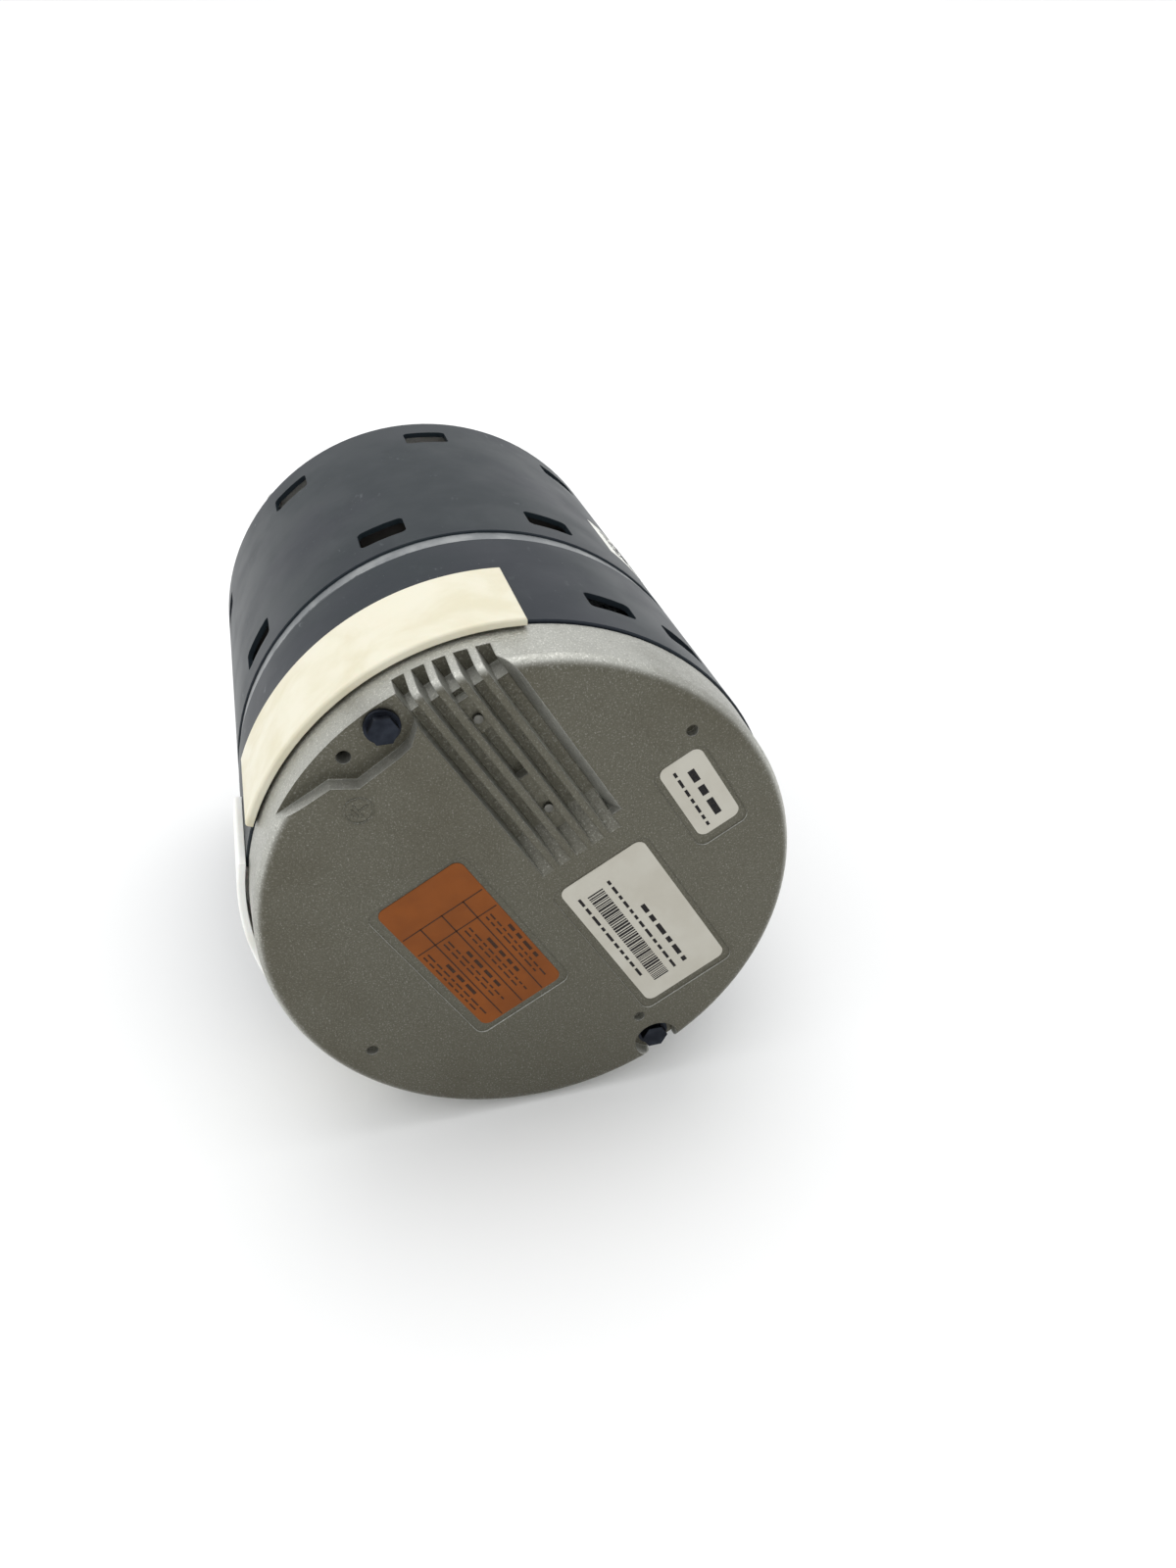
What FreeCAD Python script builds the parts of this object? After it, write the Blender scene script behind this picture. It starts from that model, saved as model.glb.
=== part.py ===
import FreeCAD, Part
import math
import os

import Sketcher

# Electronically commutated blower motor with its control module in line with it.
# Frame: +Y runs along the shaft towards the drive end, +Z is up. The origin lies on the shaft
# axis, midway between the two rows of motor vents, where a belly band grips the shell.
# Stations are measured along the shaft from the seam between the end cap and the control shell.
# Clock angles start at +Z and grow towards +X. Lengths are in millimetres, angles in degrees.

SIZES = {
    # stations of the casing
    "band_station": 110.35,
    "cap_depth": 18.3,
    "control_end": 53.3,
    "ring_end": 59.6,
    "shell_end": 162.85,
    # casing shells
    "shell_radius": 69.85,
    "shell_wall": 1.5,
    "edge_break": 0.35,
    "ring_radius": 69.3,
    "spigot_radius": 68.2,
    "spigot_length": 5.0,
    "rim_inner": 61.0,
    # rows of vent slots
    "vent_count": 9,
    "vent_width": 13.6,
    "vent_height": 10.6,
    "vent_corner": 1.6,
    "rear_vent_station": 73.75,
    "rear_vent_angle": 22.6,
    "front_vent_station": 146.9,
    "front_vent_angle": 2.5,
    "control_vent_count": 7,
    "control_vent_width": 13.2,
    "control_vent_height": 9.0,
    "control_vent_station": 16.1,
    "control_vent_angle": 24.5,
    "control_vent_pitch": 19.6,
    # end cap casting
    "seam_gap": 0.7,
    "gasket_radius": 68.9,
    "cap_root_radius": 69.2,
    "cap_face_radius": 68.6,
    "cap_edge_radius": 3.4,
    "cap_skin": 4.0,
    "cap_spigot": 4.0,
    "module_boss_low_u": -57.0,
    "module_boss_high_u": -3.0,
    "module_boss_low_v": 2.0,
    "module_boss_high_v": 36.0,
    "cap_bore": 66.6,
    "cap_ledge_radius": 60.5,
    "cap_ledge_station": -5.5,
    "cap_well_radius": 54.0,
    "cap_floor_station": -10.3,
    "feature_angle": 60.0,
    # cooling grooves in the cap face
    "groove_count": 5,
    "groove_first": 7.65,
    "groove_pitch": 4.95,
    "groove_width": 3.15,
    "groove_depth": 5.5,
    "groove_side_depth": 11.0,
    "groove_side_radius": 64.2,
    "groove_ramp_start": -17.0,
    "groove_ramp_end": -6.5,
    "groove_bank": 3.0,
    "bank_end": -11.0,
    "bank_overlap": 0.2,
    "groove_side_slope": 1.4,
    "pad_depth": 2.4,
    "pad_overlap": 0.5,
    "pad_side_overlap": 0.05,
    # recesses round the bolts
    "pocket_depth": 4.6,
    "notch_radius": 6.2,
    "control_bolt_circle": 64.0,
    "control_bolt_angle": 149.2,
    "ground_hole_u": -62.6,
    "ground_hole_v": -12.4,
    "ground_hole_radius": 1.73,
    "pin_mark_radius": 1.55,
    "pin_mark_depth": 2.6,
    # labels and their recesses
    "recess_depth": 0.4,
    "recess_corner": 2.6,
    "label_corner": 2.4,
    "label_thickness": 0.14,
    "shell_label_start": 42.5,
    "shell_label_angle": 62.0,
    "shell_label_low": 79.2,
    "shell_label_high": 106.8,
    "shell_label_thickness": 0.07,
    # plastic covers on the control shell
    "cover_low": -3.0,
    "cover_high": 28.3,
    "cover_inner": 69.95,
    "cover_outer": 71.95,
    "cover_edge": 0.8,
    "cover_start": -68.0,
    "cover_angle": 71.0,
    "clip_width": 9.0,
    "clip_thickness": 2.0,
    "clip_inner": 64.5,
    "clip_station": 19.0,
    "clip_play": 0.4,
    "clip_hook": 1.1,
    "clip_hook_height": 2.2,
    "clip_overlap": 0.3,
    "housing_start": -77.0,
    "housing_angle": 71.0,
    "window_margin": 2.2,
    "window_end": 24.5,
    "socket_floor": 57.5,
    "block_floor": 55.5,
    "power_angle": 18.5,
    "power_length": 33.0,
    "power_height": 12.5,
    "signal_angle": 52.5,
    "signal_length": 34.0,
    "signal_height": 10.5,
    "socket_station": 12.3,
    "socket_wall": 1.6,
    "power_pin_count": 5,
    "power_pin_pitch": 6.2,
    "power_pin_width": 2.8,
    "power_pin_thickness": 0.8,
    "pin_height": 8.5,
    "pin_root": 3.0,
    "signal_pin_columns": 8,
    "signal_pin_pitch": 4.0,
    "signal_pin_row": 4.2,
    "signal_pin_size": 1.1,
    # shaft
    "shaft_radius": 6.35,
    "shaft_end": 282.5,
    "shaft_break": 1.0,
    "journal_break": 0.8,
    "ring_groove_inset": 1.6,
    "ring_groove_width": 1.1,
    "ring_groove_depth": 0.6,
    "retaining_ring_thickness": 1.0,
    "retaining_ring_height": 2.2,
    "retaining_ring_angle": 300.0,
    "slinger_seat_radius": 7.2,
    "slinger_seat_end": 174.4,
    "shaft_flat_depth": 1.27,
    "shaft_flat_start": 188.0,
    "shaft_flat_clock": 22.5,
    "journal_radius": 8.5,
    "rotor_seat_radius": 9.5,
    "rear_journal_end": 51.4,
    "rotor_seat_start": 67.2,
    "rotor_seat_end": 151.0,
    "shaft_step": 162.8,
    # end shields
    "hub_radius": 25.0,
    "bearing_bore": 20.0,
    "mid_web_start": 54.6,
    "mid_web_end": 58.6,
    "mid_hub_start": 50.6,
    "mid_hub_end": 68.4,
    "shoulder_thickness": 2.0,
    "shoulder_bore": 14.0,
    "spigot_wall": 2.2,
    "race_relief_radius": 14.0,
    "race_relief_depth": 1.0,
    "drive_face": 162.95,
    "drive_web": 4.2,
    "drive_rim_start": 153.6,
    "drive_hub_start": 150.2,
    "drive_hub_end": 168.2,
    "seal_bore": 8.2,
    "window_count": 6,
    "window_inner": 31.0,
    "window_outer": 55.0,
    "window_half_width": 9.0,
    "window_widening": 1.6,
    "window_corner": 3.0,
    # bearings, 17 by 40 by 12 mm
    "bearing_width": 12.0,
    "bearing_outer": 19.98,
    "rear_bearing_start": 55.0,
    "front_bearing_start": 151.0,
    "outer_land": 16.5,
    "inner_land": 12.1,
    "ball_pitch": 14.25,
    "ball_radius": 3.32,
    "track_radius": 3.42,
    "ball_count": 8,
    "cage_inner": 13.3,
    "cage_outer": 15.2,
    "cage_width": 8.6,
    "shield_inner": 12.55,
    "shield_thickness": 0.35,
    "shield_inset": 0.3,
    "cage_window_play": 0.12,
    "spring_inner": 14.6,
    "spring_outer": 19.4,
    "spring_land": 1.0,
    "spring_thickness": 0.6,
    # rubber slinger
    "slinger_gap": 0.8,
    "slinger_radius": 15.0,
    "slinger_disc_thickness": 1.8,
    "slinger_hub_radius": 9.6,
    "slinger_length": 4.2,
    # stator
    "stack_start": 83.0,
    "stack_end": 138.0,
    "stator_outer": 68.3,
    "stator_bore": 42.8,
    "slot_count": 18,
    "tooth_width": 8.0,
    "slot_opening": 2.2,
    "slot_lip": 45.4,
    "slot_lip_height": 0.5,
    "slot_bottom": 60.8,
    "insulator_thickness": 1.2,
    "insulator_wall": 1.4,
    "insulator_height": 9.0,
    "insulator_rim": 2.0,
    "insulator_lip": 0.4,
    "bolt_notch_play": 0.5,
    "coil_inner_radius": 46.4,
    "coil_outer_radius": 59.6,
    "coil_width": 15.0,
    "coil_hole": 8.9,
    "coil_end": 8.2,
    "coil_corner": 5.5,
    "coil_hole_corner": 0.8,
    "coil_play": 0.3,
    # rotor
    "core_start": 84.0,
    "core_end": 137.0,
    "magnet_outer": 42.0,
    "core_outer": 37.6,
    "core_bore": 26.0,
    "isolator_bore": 20.0,
    "magnet_count": 12,
    "magnet_angle": 28.4,
    "core_hole_radius": 3.2,
    "core_hole_circle": 31.8,
    "rotor_hub_inset": 4.0,
    "isolator_inset": 6.0,
    # leads between the windings and the board
    "lead_slot_half": 9.0,
    "lead_slot_inner": 46.0,
    "lead_slot_outer": 53.0,
    "lead_radius": 1.3,
    "lead_pitch": 5.0,
    "lead_start": 40.0,
    "lead_end": 66.0,
    "plug_half_width": 8.5,
    "plug_round": 0.8,
    # fasteners
    "through_bolt_circle": 65.5,
    "through_bolt_radius": 1.5,
    "through_hole_radius": 2.15,
    "through_bolt_angle": 45.0,
    "control_bolt_radius": 2.04,
    "bolt_play": 0.25,
    "head_radius": 3.67,
    "head_height": 3.4,
    "flange_radius": 4.3,
    "flange_height": 1.1,
    # control electronics
    "board_radius": 53.0,
    "board_start": 27.0,
    "board_thickness": 1.6,
    "standoff_circle": 49.0,
    "standoff_radius": 2.8,
    "screw_radius": 1.5,
    "screw_hole_radius": 1.75,
    "screw_head_radius": 3.0,
    "screw_head_height": 2.0,
    "can_radius": 11.0,
    "can_length": 33.0,
    "choke_x": -18.0,
    "choke_z": -26.0,
    "choke_radius": 9.5,
    "choke_thickness": 4.6,
    "film_low_x": 2.0,
    "film_high_x": 30.0,
    "film_low_z": -36.0,
    "film_high_z": -24.0,
    "film_height": 15.0,
    "chip_thickness": 1.8,
    # power module, its heat pad, and the clamp bar that two rivets hold over it
    "heat_pad_thickness": 0.6,
    "heat_pad_margin": 1.0,
    "module_low_u": -48.0,
    "module_high_u": -27.0,
    "module_low_v": 8.0,
    "module_high_v": 27.0,
    "module_thickness": 5.5,
    "clamp_half_width": 4.0,
    "clamp_margin": 3.5,
    "clamp_thickness": 1.6,
    "rivet_outer_u": -53.1,
    "rivet_inner_u": -22.0,
    "rivet_radius": 1.15,
    "rivet_shank_radius": 0.8,
    "rivet_hole_radius": 0.95,
    "rivet_head_height": 0.9,
}

doc = FreeCAD.newDocument("blower_motor")
sheet = doc.addObject("Spreadsheet::Sheet", "sizes")
for row, (alias, number) in enumerate(SIZES.items(), start=1):
    sheet.set(f"A{row}", str(number))
    sheet.setAlias(f"A{row}", alias)
doc.recompute()

X_AXIS = FreeCAD.Vector(1, 0, 0)
Y_AXIS = FreeCAD.Vector(0, 1, 0)
Z_AXIS = FreeCAD.Vector(0, 0, 1)
OUTSIDE = 90.0  # further from the axis than any piece reaches
CLEAR = 3.0  # how far outside a surface a cut starts
THROUGH = 30.0  # deeper than any wall that a hole goes through
TOUCH = 1e-3  # two lengths closer than this are the same
nodes = []


class Size:
    """A number together with the spreadsheet expression that it comes from."""

    def __init__(self, number, text):
        self.number = float(number)
        self.text = text

    @staticmethod
    def of(value):
        return value if isinstance(value, Size) else Size(value, f"({value:.6g})")

    def join(self, sign, other, number):
        return Size(number, f"({self.text} {sign} {other.text})")

    def __add__(self, other):
        other = Size.of(other)
        return self.join("+", other, self.number + other.number)

    def __radd__(self, other):
        return Size.of(other) + self

    def __sub__(self, other):
        other = Size.of(other)
        return self.join("-", other, self.number - other.number)

    def __rsub__(self, other):
        return Size.of(other) - self

    def __mul__(self, other):
        other = Size.of(other)
        return self.join("*", other, self.number * other.number)

    def __rmul__(self, other):
        return Size.of(other) * self

    def __truediv__(self, other):
        other = Size.of(other)
        return self.join("/", other, self.number / other.number)

    def __neg__(self):
        return 0 - self

    def root(self):
        return Size(math.sqrt(self.number), f"sqrt({self.text})")

    def sine(self):
        return Size(math.sin(math.radians(self.number)), f"sin({self.text})")

    def cosine(self):
        return Size(math.cos(math.radians(self.number)), f"cos({self.text})")


class Sheet:
    """Gives each alias of the spreadsheet as a Size."""

    def __getattr__(self, alias):
        return Size(SIZES[alias], f"<<sizes>>.{alias}")


D = Sheet()


def at(station):
    """The y coordinate of a station along the shaft."""
    return station - D.band_station


def bind(thing, **sizes):
    """Sets properties of an object and ties each to its spreadsheet expression."""
    for name, size in sizes.items():
        size = Size.of(size)
        setattr(thing, name, round(size.number) if name == "Occurrences" else size.number)
        thing.setExpression(name, size.text)


def place(thing, x=0, y=0, z=0, axis=Y_AXIS, angle=0):
    """Places an object, with its position and angle tied to the spreadsheet."""
    x, y, z, angle = Size.of(x), Size.of(y), Size.of(z), Size.of(angle)
    spot = FreeCAD.Vector(x.number, y.number, z.number)
    thing.Placement = FreeCAD.Placement(spot, FreeCAD.Rotation(axis, angle.number))
    thing.setExpression("Placement.Base.x", x.text)
    thing.setExpression("Placement.Base.y", y.text)
    thing.setExpression("Placement.Base.z", z.text)
    if angle.number:
        thing.setExpression("Placement.Rotation.Angle", angle.text)


def keep(thing, label):
    """Makes an object a sub-part of the motor, under its label."""
    thing.Label = label
    nodes.append(thing)
    return thing


def new_body(label):
    return keep(doc.addObject("PartDesign::Body", "Body_" + label), label)


def datum(body, role):
    """An origin plane or axis of a body."""
    return next(f for f in body.Origin.OriginFeatures if f.Role == role)


def sketch_on(body, plane, offset=0, turn=0, turn_axis=Y_AXIS):
    """A sketch on an origin plane, moved along its normal and turned about one of its axes."""
    sketch = body.newObject("Sketcher::SketchObject", "Sketch")
    sketch.AttachmentSupport = (datum(body, plane), "")
    sketch.MapMode = "FlatFace"
    offset, turn = Size.of(offset), Size.of(turn)
    rotation = FreeCAD.Rotation(turn_axis, turn.number)
    shift = rotation.multVec(FreeCAD.Vector(0, 0, offset.number))
    sketch.AttachmentOffset = FreeCAD.Placement(shift, rotation)
    if turn.number:
        sketch.setExpression("AttachmentOffset.Rotation.Angle", turn.text)
    if turn_axis == Z_AXIS:
        sketch.setExpression("AttachmentOffset.Base.z", offset.text)
        return sketch
    sketch.setExpression("AttachmentOffset.Base.z", (offset * turn.cosine()).text)
    if turn_axis == Y_AXIS:
        sketch.setExpression("AttachmentOffset.Base.x", (offset * turn.sine()).text)
    else:
        sketch.setExpression("AttachmentOffset.Base.y", (-offset * turn.sine()).text)
    return sketch


def axial_sketch(body, clock=90):
    """A sketch at a clock angle, whose x is the radius and whose y runs along the shaft."""
    return sketch_on(body, "XY_Plane", 0, clock - 90)


def cross_sketch(body, station, turn=0):
    """A sketch across the shaft at a station, seen from the control end, with x right and y up."""
    return sketch_on(body, "XZ_Plane", -at(station), turn, Z_AXIS)


def radial_sketch(body, radius, clock):
    """A sketch square to the radius at a clock angle, with x along the rim and y along the shaft."""
    return sketch_on(body, "XY_Plane", radius, clock)


def fix(sketch, kind, *target, size):
    """Adds one dimension to a sketch and ties it to the spreadsheet."""
    size = Size.of(size)
    index = sketch.addConstraint(Sketcher.Constraint(kind, *target, size.number))
    sketch.renameConstraint(index, f"size_{index}")
    sketch.setExpression(f"Constraints.size_{index}", size.text)


def outline(sketch, corners):
    """A closed outline of straight edges through corners given as (x, y)."""
    points = []
    for x, y in corners:
        points.append(FreeCAD.Vector(Size.of(x).number, Size.of(y).number, 0))
    count, first = len(points), sketch.GeometryCount
    for i in range(count):
        sketch.addGeometry(Part.LineSegment(points[i], points[(i + 1) % count]), False)
    joints = []
    for i in range(count):
        joints.append(Sketcher.Constraint("Coincident", first + i, 2, first + (i + 1) % count, 1))
    sketch.addConstraint(joints)
    for i, (x, y) in enumerate(corners):
        fix(sketch, "DistanceX", -1, 1, first + i, 1, size=x)
        fix(sketch, "DistanceY", -1, 1, first + i, 1, size=y)
    return sketch


def box_outline(sketch, x0, x1, y0, y1):
    return outline(sketch, [(x0, y0), (x1, y0), (x1, y1), (x0, y1)])


def circle(sketch, x, y, radius):
    x, y, radius = Size.of(x), Size.of(y), Size.of(radius)
    centre = FreeCAD.Vector(x.number, y.number, 0)
    index = sketch.addGeometry(Part.Circle(centre, Z_AXIS, radius.number), False)
    fix(sketch, "DistanceX", -1, 1, index, 3, size=x)
    fix(sketch, "DistanceY", -1, 1, index, 3, size=y)
    fix(sketch, "Radius", index, size=radius)
    return sketch


def settle(body, feature):
    """Makes a feature the body's latest and computes it."""
    body.Tip = feature
    doc.recompute()
    if {"Invalid", "Error"} & set(feature.State):
        raise ValueError(f"{body.Label}: {feature.Name} failed")
    return feature


def ring_corners(inner, outer, start, end):
    """The (radius, station) corners of a plain ring."""
    return [(inner, start), (outer, start), (outer, end), (inner, end)]


def turn_profile(body, corners, angle=360):
    """Revolves an outline of (radius, station) corners about the shaft axis."""
    sketch = axial_sketch(body)
    outline(sketch, [(radius, at(station)) for radius, station in corners])
    return revolve(body, sketch, angle)


def revolve(body, sketch, angle=360, kind="PartDesign::Revolution"):
    feature = body.newObject(kind, "Turned")
    feature.Profile = sketch
    feature.ReferenceAxis = (datum(body, "Y_Axis"), [""])
    bind(feature, Angle=angle)
    return settle(body, feature)


def pad(body, sketch, length, reverse=False, middle=False):
    feature = body.newObject("PartDesign::Pad", "Pad")
    feature.Profile = sketch
    feature.Reversed = reverse
    feature.SideType = "Symmetric" if middle else "One side"
    bind(feature, Length=length)
    return settle(body, feature)


def cut(body, sketch, length, reverse=False, middle=False):
    """Cuts a sketch into a body and makes sure that some material went."""
    before = body.Shape.Volume
    feature = body.newObject("PartDesign::Pocket", "Pocket")
    feature.Profile = sketch
    feature.Reversed = reverse
    feature.SideType = "Symmetric" if middle else "One side"
    bind(feature, Length=length)
    settle(body, feature)
    if body.Shape.Volume > before - TOUCH:
        raise ValueError(f"{body.Label}: {feature.Name} cuts nothing")
    return feature


def around(body, features, count, angle=360):
    """Repeats features about the shaft axis."""
    feature = body.newObject("PartDesign::PolarPattern", "Pattern")
    feature.Originals = features
    feature.Axis = (datum(body, "Y_Axis"), [""])
    bind(feature, Angle=angle, Occurrences=count)
    return settle(body, feature)


def soften(body, radius, wanted, kind="PartDesign::Fillet"):
    """Rounds or chamfers every edge of the body that the test picks out."""
    names = [f"Edge{i}" for i, edge in enumerate(body.Shape.Edges, start=1) if wanted(edge)]
    if not names:
        raise ValueError(f"{body.Label}: no edge to soften")
    base = body.Tip
    feature = body.newObject(kind, "Soft")
    feature.Base = (base, names)
    bind(feature, **{"Radius" if kind.endswith("Fillet") else "Size": radius})
    return settle(body, feature)


def edge_middle(edge):
    return edge.valueAt((edge.FirstParameter + edge.LastParameter) / 2)


def runs_along(edge, direction):
    """Is this a straight edge along a direction?"""
    if edge.Curve.TypeId != "Part::GeomLine":
        return False
    return abs(abs(edge.Curve.Direction.dot(direction)) - 1) < TOUCH


def outward(clock):
    """The direction away from the shaft axis at a clock angle."""
    angle = math.radians(Size.of(clock).number)
    return FreeCAD.Vector(math.sin(angle), 0, math.cos(angle))


def bolt_holes(body, station, clocks, circle_radius, radius):
    """Holes along the shaft direction, from a station on."""
    for clock in clocks:
        sketch = cross_sketch(body, station)
        x, z = on_circle(circle_radius, clock)
        circle(sketch, x, z, radius)
        cut(body, sketch, THROUGH)


def on_circle(radius, clock):
    """The x and z of a point at a radius and a clock angle."""
    clock = Size.of(clock)
    return radius * clock.sine(), radius * clock.cosine()


def face_to_frame(u, v):
    """The x and z of a point given along and across the cooling grooves."""
    u, v = Size.of(u), Size.of(v)
    cosine, sine = D.feature_angle.cosine(), D.feature_angle.sine()
    return u * cosine + v * sine, v * cosine - u * sine


def cylinder(name, radius, length, station, x=0, z=0):
    """A cylinder along the shaft direction, starting at a station."""
    thing = doc.addObject("Part::Cylinder", name)
    bind(thing, Radius=radius, Height=length)
    place(thing, x, at(station), z, X_AXIS, -90)
    return thing


def block(name, x0, x1, start, end, z0, z1):
    """A box between two corners, its length along the shaft given by stations."""
    thing = doc.addObject("Part::Box", name)
    bind(thing, Length=x1 - x0, Width=end - start, Height=z1 - z0)
    place(thing, x0, at(start), z0)
    return thing


def fuse(name, pieces):
    thing = doc.addObject("Part::MultiFuse", name)
    thing.Shapes = pieces
    return thing


def subtract(name, base, tool):
    thing = doc.addObject("Part::Cut", name)
    thing.Base = base
    thing.Tool = tool
    return thing


def group(label, pieces):
    """Separate solids that share one node."""
    thing = doc.addObject("Part::Compound", "Group_" + label)
    thing.Links = pieces
    return keep(thing, label)


def tube(label, inner, outer, start, end):
    """A plain ring about the shaft axis."""
    body = new_body(label)
    turn_profile(body, ring_corners(inner, outer, start, end))
    return body


# ---------------------------------------------------------------- casing shells


def vent_row(body, station, clock, width, height, count, sweep=360):
    """A row of rounded slots through a shell wall."""
    sketch = radial_sketch(body, D.shell_radius + CLEAR, clock)
    middle = at(station)
    box_outline(sketch, -width / 2, width / 2, middle - height / 2, middle + height / 2)
    first = cut(body, sketch, 4 * CLEAR)
    around(body, [first], count, sweep)
    low, high = middle.number - height.number / 2, middle.number + height.number / 2
    longest = 1.2 * D.shell_wall.number

    def is_corner(edge):
        y = edge_middle(edge).y
        at_end = min(abs(y - low), abs(y - high)) < TOUCH
        return at_end and edge.Length < longest and edge.Curve.TypeId == "Part::GeomLine"

    soften(body, D.vent_corner, is_corner)


def shell_tube(label, start, end):
    """A painted steel sleeve whose end edges are broken."""
    body = new_body(label)
    outer, inner, dull = D.shell_radius, D.shell_radius - D.shell_wall, D.edge_break
    turn_profile(
        body,
        [
            (inner, start),
            (outer - dull, start),
            (outer, start + dull),
            (outer, end - dull),
            (outer - dull, end),
            (inner, end),
        ],
    )
    return body


def make_motor_shell():
    body = shell_tube("motor_shell", D.ring_end, D.shell_end)
    vent_row(body, D.rear_vent_station, D.rear_vent_angle, D.vent_width, D.vent_height, D.vent_count)
    vent_row(body, D.front_vent_station, D.front_vent_angle, D.vent_width, D.vent_height, D.vent_count)


def make_control_shell():
    body = shell_tube("control_shell", Size.of(0), D.control_end)
    sweep = D.control_vent_pitch * (D.control_vent_count - 1)
    vent_row(
        body,
        D.control_vent_station,
        D.control_vent_angle,
        D.control_vent_width,
        D.control_vent_height,
        D.control_vent_count,
        sweep,
    )
    # the opening that the connector housing slides into from the seam
    window_angle = D.housing_angle - 2 * D.window_margin
    wedge = axial_sketch(body, D.housing_start - D.window_margin - window_angle)
    low, high = at(Size.of(-CLEAR)), at(D.window_end)
    box_outline(wedge, D.shell_radius - CLEAR, D.shell_radius + CLEAR, low, high)
    revolve(body, wedge, window_angle, "PartDesign::Groove")
    # two slots for the clips of the terminal cover
    for clock in clip_clocks():
        sketch = radial_sketch(body, D.shell_radius + CLEAR, clock)
        half, middle = D.clip_width / 2 + D.clip_play, at(D.clip_station)
        reach = D.clip_thickness / 2 + D.clip_play
        box_outline(sketch, -half, half, middle - reach, middle + reach)
        cut(body, sketch, 4 * CLEAR)


def clip_clocks():
    """The clock angles of the terminal cover's two clips."""
    return [D.cover_start + D.cover_angle / 5, D.cover_start + D.cover_angle * 4 / 5]


def make_terminal_cover():
    """A curved plastic cover held by two clips that pass through the shell."""
    body = new_body("terminal_cover")
    curved_plate(body, D.cover_start, D.cover_angle)
    for clock in clip_clocks():
        sketch = radial_sketch(body, D.clip_inner, clock)
        half, reach, middle = D.clip_width / 2, D.clip_thickness / 2, at(D.clip_station)
        box_outline(sketch, -half, half, middle - reach, middle + reach)
        pad(body, sketch, D.cover_inner + D.clip_overlap - D.clip_inner)
        hook = radial_sketch(body, D.clip_inner, clock)
        box_outline(hook, -half, half, middle - reach, middle + reach + D.clip_hook)
        pad(body, hook, D.clip_hook_height)


def curved_plate(body, start, angle):
    """An arc of plate that stands on the control shell and overhangs the seam."""
    sketch = axial_sketch(body, start)
    box_outline(sketch, D.cover_inner, D.cover_outer, at(D.cover_low), at(D.cover_high))
    revolve(body, sketch, angle)
    outer = D.cover_outer.number

    def is_outer_edge(edge):
        point = edge_middle(edge)
        return abs(math.hypot(point.x, point.z) - outer) < TOUCH

    soften(body, D.cover_edge, is_outer_edge)


def make_connector_housing():
    """A curved flange with two shrouded sockets that reach into the control shell."""
    body = new_body("connector_housing")
    curved_plate(body, D.housing_start - D.housing_angle, D.housing_angle)
    top, middle = D.cover_outer + CLEAR, at(D.socket_station)
    for clock, length, height in sockets():
        sketch = radial_sketch(body, top, clock)
        half, reach = length / 2 + D.socket_wall, height / 2 + D.socket_wall
        box_outline(sketch, -half, half, middle - reach, middle + reach)
        pad(body, sketch, top - D.block_floor, reverse=True)
    trim = axial_sketch(body)
    box_outline(trim, D.cover_outer, OUTSIDE, at(D.cover_low - CLEAR), at(D.cover_high + CLEAR))
    revolve(body, trim, 360, "PartDesign::Groove")
    for clock, length, height in sockets():
        sketch = radial_sketch(body, top, clock)
        box_outline(sketch, -length / 2, length / 2, middle - height / 2, middle + height / 2)
        cut(body, sketch, top - D.socket_floor)


def sockets():
    """Clock angle, length along the rim and height along the shaft of the two sockets."""
    return [
        (D.housing_start - D.power_angle, D.power_length, D.power_height),
        (D.housing_start - D.signal_angle, D.signal_length, D.signal_height),
    ]


def contact(name, clock, along, across, width, thickness):
    """One straight contact that stands out from a socket's floor."""
    pin = doc.addObject("Part::Box", name)
    bind(pin, Length=width, Width=thickness, Height=D.pin_height + D.pin_root)
    sine, cosine = clock.sine(), clock.cosine()
    low, root = along - width / 2, D.socket_floor - D.pin_root
    x = low * cosine + root * sine
    z = root * cosine - low * sine
    place(pin, x, at(D.socket_station) + across - thickness / 2, z, Y_AXIS, clock)
    return pin


def make_contacts():
    """A row of flat blades in the power socket and two rows of square pins in the other."""
    (power_clock, _, _), (signal_clock, _, _) = sockets()
    width, thickness = D.power_pin_width, D.power_pin_thickness
    pins = []
    for i in range(int(D.power_pin_count.number)):
        along = D.power_pin_pitch * (Size.of(i) - (D.power_pin_count - 1) / 2)
        pins.append(contact(f"Blade{i}", power_clock, along, Size.of(0), width, thickness))
    group("power_pins", pins)
    size = D.signal_pin_size
    pins = []
    for i in range(int(D.signal_pin_columns.number)):
        along = D.signal_pin_pitch * (Size.of(i) - (D.signal_pin_columns - 1) / 2)
        for row, across in enumerate((-D.signal_pin_row / 2, D.signal_pin_row / 2)):
            pins.append(contact(f"Pin{i}_{row}", signal_clock, along, across, size, size))
    group("signal_pins", pins)


# ---------------------------------------------------------------- control end cap

# In these lists u runs along the cooling grooves and v across them, both from the shaft axis.
RAISED_PADS = [(-59.0, -49.0), (-33.0, -15.0)]  # low and high u
POCKET_CORNERS = [
    (-85.0, 6.9),
    (-62.4, 6.9),
    (-60.4, 5.4),
    (-57.6, 2.0),
    (-56.9, -2.0),
    (-56.2, -13.4),
    (-60.2, -18.4),
    (-60.3, -45.0),
    (-85.0, -45.0),
]
PIN_MARKS = [(-18.8, 56.6), (10.3, -58.2), (52.6, 1.5)]
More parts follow.
